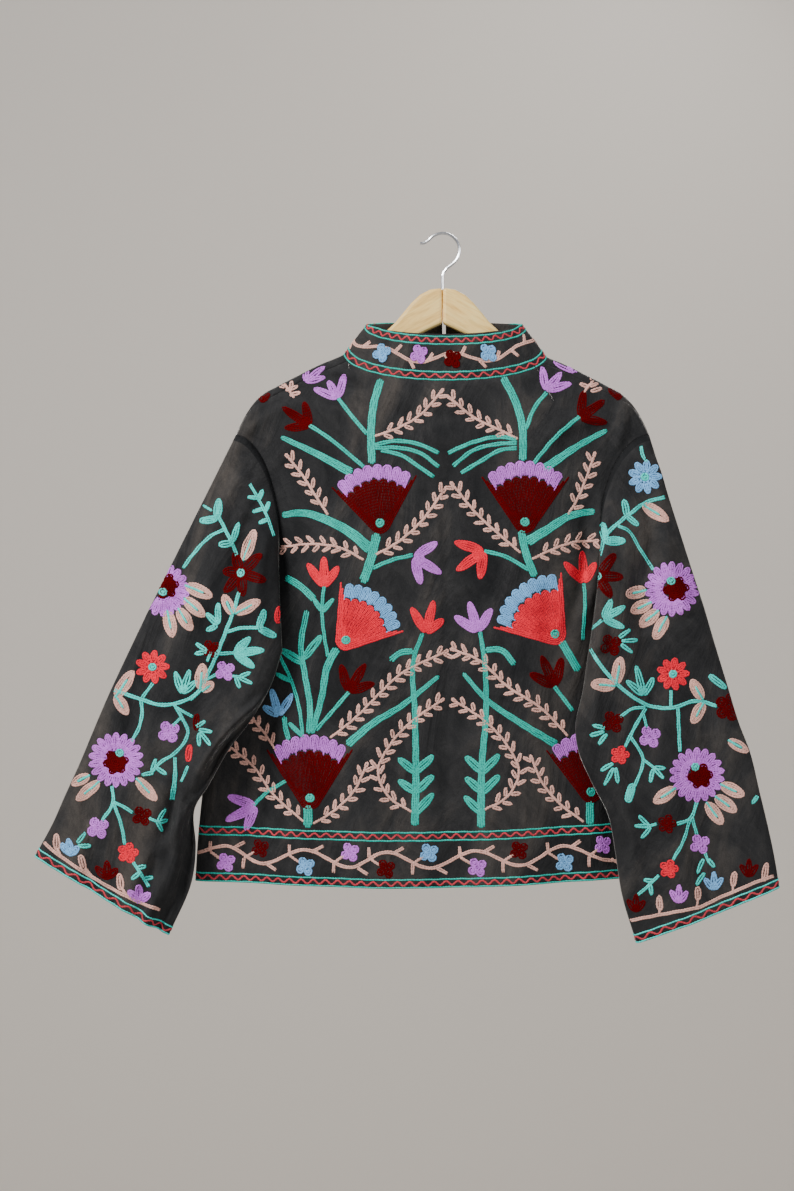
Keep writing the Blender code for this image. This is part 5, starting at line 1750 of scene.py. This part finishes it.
rightSleeveWork = {
    "stems": [
        ("aqua", [
            ([(641, 446), (643, 456), (648, 463)], 3.4),
            ([(665, 497), (645, 503), (631, 513), (616, 525), (606, 535), (600, 556)], 3.8),
            ([(618, 526), (626, 529), (640, 549), (654, 571)], 3.4),
            ([(590, 630), (602, 620)], 3.4),
            ([
                (590, 649), (599, 663), (616, 683), (636, 699), (647, 705), (671, 708), (697, 701),
                (717, 706),
            ], 3.8),
            ([(671, 690), (671, 708)], 3.2),
            ([(678, 708), (679, 732), (680, 752)], 3.6),
            ([(646, 707), (632, 709), (620, 717)], 3.2),
            ([(646, 708), (636, 725), (625, 747)], 3.4),
            ([(631, 737), (643, 759), (636, 783), (631, 794)], 3.2),
            ([(643, 759), (654, 768)], 3.0),
            ([(643, 713), (647, 728)], 3.0),
            ([(697, 802), (690, 819), (677, 824)], 3.6),
            ([(690, 819), (683, 842), (673, 860)], 3.4),
            ([(692, 817), (697, 835)], 3.4),
            ([(659, 875), (648, 886), (638, 895)], 3.2),
            ([(657, 824), (648, 826)], 3.0),
            ([(705, 853), (709, 863)], 3.0),
        ]),
        ("pink", [
            ([
                (628, 921), (659, 915), (681, 911), (700, 907), (719, 898), (738, 890), (754, 883),
                (774, 876),
            ], 3.4),
            ([(659, 915), (660, 908)], 2.4),
            ([(697, 907), (698, 898)], 2.4),
            ([(733, 892), (733, 884)], 2.4),
        ]),
    ],
    "leaves": [
        ("aqua", [
            ((627, 515), (624, 499), 7.5), ((627, 516), (639, 526), 6.5), ((605, 539), (602, 522), 9),
            ((606, 541), (626, 541), 9.5), ((620, 637), (631, 629)), ((623, 641), (639, 640)),
            ((622, 645), (633, 653)), ((604, 728), (592, 725)), ((603, 732), (589, 736)),
            ((606, 735), (598, 745)), ((654, 768), (666, 768)), ((655, 769), (664, 779)),
            ((653, 770), (650, 783)), ((612, 764), (600, 771)), ((613, 769), (604, 786)),
            ((616, 769), (618, 784)), ((648, 825), (638, 815)), ((648, 826), (634, 826)),
            ((650, 828), (641, 839)), ((709, 860), (715, 868)), ((703, 860), (697, 874)),
            ((653, 881), (643, 880)), ((650, 885), (652, 896)), ((710, 676), (727, 689), 7),
            ((697, 884), (705, 872)), ((628, 801), (633, 783), 9), ((757, 797), (752, 804), 5),
        ]),
        ("pink", [
            ((660, 909), (659, 895), 7), ((698, 899), (698, 886), 7), ((733, 885), (735, 871), 7),
            ((764, 880), (767, 862), 7),
        ]),
    ],
    "veined": [
        ((642, 504), (669, 521), 12), ((647, 590), (625, 595), 12), ((652, 602), (630, 612), 12),
        ((659, 610), (639, 627), 12), ((667, 616), (654, 640), 12), ((616, 685), (621, 656), 12),
        ((616, 686), (590, 684), 12), ((703, 700), (691, 679), 11), ((704, 702), (692, 724), 11),
        ((676, 788), (653, 803), 12), ((720, 784), (745, 796), 12), ((715, 796), (737, 812), 12),
        ((706, 802), (723, 825), 12), ((728, 740), (749, 752), 10),
    ],
    "tulips": [
        ("maroon", (598, 576), [
            (590, 553), (616, 553), (624, 577), (612, 598), (588, 600), (577, 576),
        ], 11),
        ("aqua", (603, 619), [(612, 599), (626, 606), (625, 628)], 8),
        ("aqua", (644, 696), [(636, 665), (626, 680), (654, 677)], 7.5),
        ("blue", (714, 890), [(704, 878), (714, 871), (723, 877)], 7),
        ("maroon", (749, 877), [(740, 864), (749, 858), (758, 864)], 7),
        ("maroon", (636, 912), [(627, 899), (636, 893), (645, 900)], 7),
        ("lilac", (679, 903), [(670, 890), (679, 884), (688, 891)], 7),
    ],
    "flowers": [
        ("maroon", (611, 645), 11.5), ("maroon", (729, 707), 15.5, 5, 0), ("maroon", (613, 722), 11.5),
        ("coral", (620, 755), 10.5, 5, 0), ("lilac", (650, 737), 11.5),
        ("maroon", (667, 824), 10.5, 5, 0), ("coral", (669, 869), 10.5, 5, 0),
        ("lilac", (700, 844), 10.5),
    ],
    "daisies": [
        ("blue", (645, 477), 17.5), ("coral", (673, 674), 17),
    ],
    "rosettes": [
        ((672, 589), 27.5, (676, 589), (671, 581)), ((697, 775), 27.5, (700, 776), (695, 767)),
    ],
    "dots": [
        (598, 576),
    ],
}

for names, work in (
    (["back"], backWork),
    (["frontLeft", "back"], leftShoulderWork),
    (["frontRight", "back"], rightShoulderWork),
    (["sleeveLeft"], leftSleeveWork),
    (["sleeveRight"], rightSleeveWork),
):
    sewPanel(seenSurface(*names), work)

# Borders: a zigzag between two lines, and the hem's and collar's vines
bandSettings = {
    "edgeBand": (0.9, 4.7, 8.6),      # heights of the lower line, the zigzag and the upper line
    "hemBand": (47.0, 51.0, 55.0),
    "lineWidth": 2.1,
    "zigzagWidth": 2.5,
    "zigzagReach": 2.0,
    "bendPoints": 12,
    "period": 12.2,
    "cuffPeriod": 15.5,
    "hemRows": 40,
    "cuffRows": 12,
}
vineSettings = {
    "low": 20.0,
    "high": 36.0,
    "inset": 1.5,
    "width": 3.4,
    "forks": [                        # foot and tip, from a flower, and width
        ((-16.5, 10.6), (-6, 3.6), 2.8),
        ((-16.5, 10.6), (-17, 21), 3.4),
        ((7.5, 15), (18, 21), 3.4),
    ],
    "flowerLow": 19.5,
    "flowerHigh": 35.0,
    "flowerGap": 41.0,
    "flowerRadius": 10.0,
    "frontColours": ("blue", "lilac", "maroon"),
    "hemFlowers": [
        ("lilac", 225), ("maroon", 259), ("blue", 305), ("lilac", 350), ("maroon", 386),
        ("blue", 430), ("lilac", 478), ("maroon", 521), ("blue", 566), ("lilac", 606),
    ],
}


def sewBorder(surface, colour, heights, period=bandSettings["period"]):
    settings = bandSettings
    low, zigzag, high = heights
    length = surface["length"]
    count = int(round(length / period))
    bends = np.linspace(0, length, count * settings["bendPoints"] + 1)
    for height in (low, high):
        line = np.stack([bends, np.full(len(bends), -height)], axis=1)
        sew(surface, colour, line, settings["lineWidth"])
    reach = settings["zigzagReach"] * np.sin(bends / length * count * 2 * np.pi)
    sew(surface, "red", np.stack([bends, -(zigzag + reach)], axis=1), settings["zigzagWidth"])


def sewVine(surface, flowers):  # flowers: colour, place along the edge, and whether it sits low
    settings = vineSettings
    line = [(at, -settings["high" if low else "low"]) for _, at, low in flowers]
    middle = -(settings["high"] + settings["low"]) / 2
    inset = settings["inset"]
    line = sorted([(inset, middle), *line, (surface["length"] - inset, middle)])
    sewStem(surface, "pink", curve(line), settings["width"])
    for colour, at, low in flowers:
        side = -1 if low else 1
        rest = -settings["flowerLow" if low else "flowerHigh"]
        for foot, tip, width in settings["forks"]:
            fork = [(at + along, rest + side * up) for along, up in (foot, tip)]
            sewStem(surface, "pink", fork, width)
        sewFlower(surface, colour, (at, rest), settings["flowerRadius"])


def alongOf(surface, flowers, order):  # where the flowers' columns of the photograph lie along an edge
    return np.interp([c for _, c in flowers], surface["columns"][order], surface["along"][order])


def sewHem():
    settings = vineSettings
    for name in ("back", "frontLeft", "frontRight"):
        surface = bandSurface(name, bandSettings["hemRows"])
        sewBorder(surface, "teal", bandSettings["edgeBand"])
        sewBorder(surface, "teal", bandSettings["hemBand"])
        if name == "back":
            places = alongOf(surface, settings["hemFlowers"], np.argsort(surface["columns"]))
            colours = column(settings["hemFlowers"], 0)
            flowers = [(colour, at, k % 2 == 0) for k, (colour, at) in enumerate(zip(colours, places))]
        else:
            count = max(2, int(surface["length"] / settings["flowerGap"]))
            colours = settings["frontColours"]
            flowers = [
                (colours[k % 3], (k + 0.5) * surface["length"] / count, k % 2 == 1) for k in range(count)
            ]
        sewVine(surface, flowers)


def sewCuffs():
    settings = bandSettings
    for name in ("sleeveLeft", "sleeveRight"):
        surface = bandSurface(name, settings["cuffRows"])
        sewBorder(surface, "aqua", settings["edgeBand"], settings["cuffPeriod"])


collarWork = {
    "flowers": [("blue", 375), ("lilac", 416), ("maroon", 454), ("blue", 495)],
    "backHalf": 90,                   # the collar's back, to each side of its middle
    "inset": 2,
    "vinePoints": 280,
    "vineStep": 4,
    "vineWidth": 3.4,
    "vineReach": 5.0,
    "halfWave": 40,                   # past the first and last flower
    "twigEnds": 8,
    "twigGap": 12,
    "twig": (5.5, 8),
    "twigWidth": 3.6,
    "flowerRises": (-1.0, 3.0),
    "flowerRadius": 10.0,
    "flowerLifts": 1.8,
}


def sewCollar():
    settings = collarWork
    surface = bandSurface("collar", len(panels["collar"]["grid"]))
    height = float(np.median(surface["height"]))
    lower = bandSettings["edgeBand"]
    sewBorder(surface, "teal", lower)
    sewBorder(surface, "teal", [height - h for h in reversed(lower)])
    order = np.argsort(surface["columns"])
    middle = len(surface["along"]) // 2
    away = np.abs(surface["along"][order] - surface["along"][middle])
    places = alongOf(surface, settings["flowers"], order[away < settings["backHalf"]])
    at = np.linspace(settings["inset"], surface["length"] - settings["inset"], settings["vinePoints"])
    offset = np.interp(at, *np.array([(s, i) for i, s in enumerate(sorted(places))]).T)
    before = np.minimum(at - min(places), 0) / settings["halfWave"]
    after = np.maximum(at - max(places), 0) / settings["halfWave"]
    phase = (offset + before + after) * np.pi
    wave = -(height * 0.5 + settings["vineReach"] * np.sin(phase + np.pi / 2))
    sewStem(surface, "pink", np.stack([at, wave], axis=1)[::settings["vineStep"]], settings["vineWidth"])
    ends, gap = settings["twigEnds"], settings["twigGap"]
    along, up = settings["twig"]
    for k in range(ends, len(at) - ends, gap):
        side = 1 if (k // gap) % 2 else -1
        foot = np.array([at[k], wave[k]])
        sewStem(surface, "pink", [foot, foot + (along, side * up)], settings["twigWidth"])
    lift = sewing["lift"] * settings["flowerLifts"]
    for k, ((colour, _), s) in enumerate(zip(settings["flowers"], places)):
        high = height * 0.5 + settings["flowerRises"][k % 2]
        sewFlower(surface, colour, (s, -high), settings["flowerRadius"], lift=lift)


sewHem()
sewCuffs()
sewCollar()

# The dark row of painted seam shade along each armhole.
armholeShadeRow = {"half": 0.00125, "lift": -0.0004}  # metres


def sewArmholeShade():  # a soft dark row of painted seam shade where a sleeve is set into its armhole
    for name in ("sleeveLeft", "sleeveRight"):
        grid = panels[name]["grid"]
        ring = np.concatenate([grid[0], grid[0][:1]])
        normals = np.cross(np.gradient(grid, axis=0), np.gradient(grid, axis=1))[1]
        normals *= (-1 if panels[name]["flip"] else 1) / np.linalg.norm(normals, axis=1, keepdims=True)
        normals = np.concatenate([normals, normals[:1]])
        halves = np.full(len(ring), armholeShadeRow["half"])
        sewn.setdefault((name, "seam"), []).append((ring, evened(normals), halves, armholeShadeRow["lift"]))


# The armhole rows take the darker velvet without sheen: painted seam shade.
threads["seam"] = paintedShadeVelvet
sewArmholeShade()


def stitchMesh(name, rows):
    across, domed = np.array(sewing["across"]), np.array(sewing["domed"])
    sides = len(across)
    vertices, faces = [], []
    start = 0
    for points, normals, halves, lift in rows:
        count = len(points)
        way = np.gradient(points, axis=0)
        way /= np.maximum(np.linalg.norm(way, axis=1, keepdims=True), 1e-9)
        side = np.cross(way, normals)
        side /= np.maximum(np.linalg.norm(side, axis=1, keepdims=True), 1e-9)
        thin = np.arange(count) % 2 == 0
        widths = halves * np.where(thin, sewing["waist"], 1.0)
        heights = sewing["height"] * np.where(thin, sewing["dip"], 1.0)
        for end in (0, -1):
            widths[end] *= sewing["endWidth"]
            heights[end] *= sewing["endHeight"]
        ring = points[:, None] + side[:, None] * (widths[:, None] * across)[..., None]
        ring = ring + normals[:, None] * (heights[:, None] * domed - sewing["sunk"] + lift)[..., None]
        vertices.append(ring.reshape(-1, 3))
        i = np.arange(count - 1)[:, None] * sides + start
        j = np.arange(sides)[None, :]
        k = (j + 1) % sides
        faces += np.stack([i + j, i + k, i + sides + k, i + sides + j], axis=-1).reshape(-1, 4).tolist()
        last = start + (count - 1) * sides
        faces += [[start, start + 4, start + 3, start + 1], [last, last + 1, last + 3, last + 4]]
        faces += [[start + 3, start + 2, start + 1], [last + 1, last + 2, last + 3]]
        start += count * sides
    mesh = bpy.data.meshes.new(name)
    mesh.from_pydata(np.concatenate(vertices).tolist(), [], faces)
    return mesh


def makeStitches():
    total = 0
    for panel in panels.values():
        panel["stitches"] = []
    for (panelName, colour), rows in sorted(sewn.items()):
        name = panelName + colour.capitalize() + "Stitches"
        mesh = stitchMesh(name, rows)
        mesh.shade_smooth()
        mesh.materials.append(threads[colour])
        piece = bpy.data.objects.new(name, mesh)
        bpy.context.scene.collection.objects.link(piece)
        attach(piece, "root")
        panels[panelName]["stitches"].append(piece)
        total += sum(2 * len(one.vertices) - 4 for one in mesh.polygons) // 2
    print("stitches:", total, "triangles")


makeStitches()
print("embroidery sewn")

# Hanger
hangerFinishes = {"hanger_wood_left": beech[0], "hanger_wood_right": beech[1], "hanger_hook": steel}
for node, finish in hangerFinishes.items():
    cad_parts[node].data.materials.clear()
    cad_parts[node].data.materials.append(finish)
print("hanger finished")
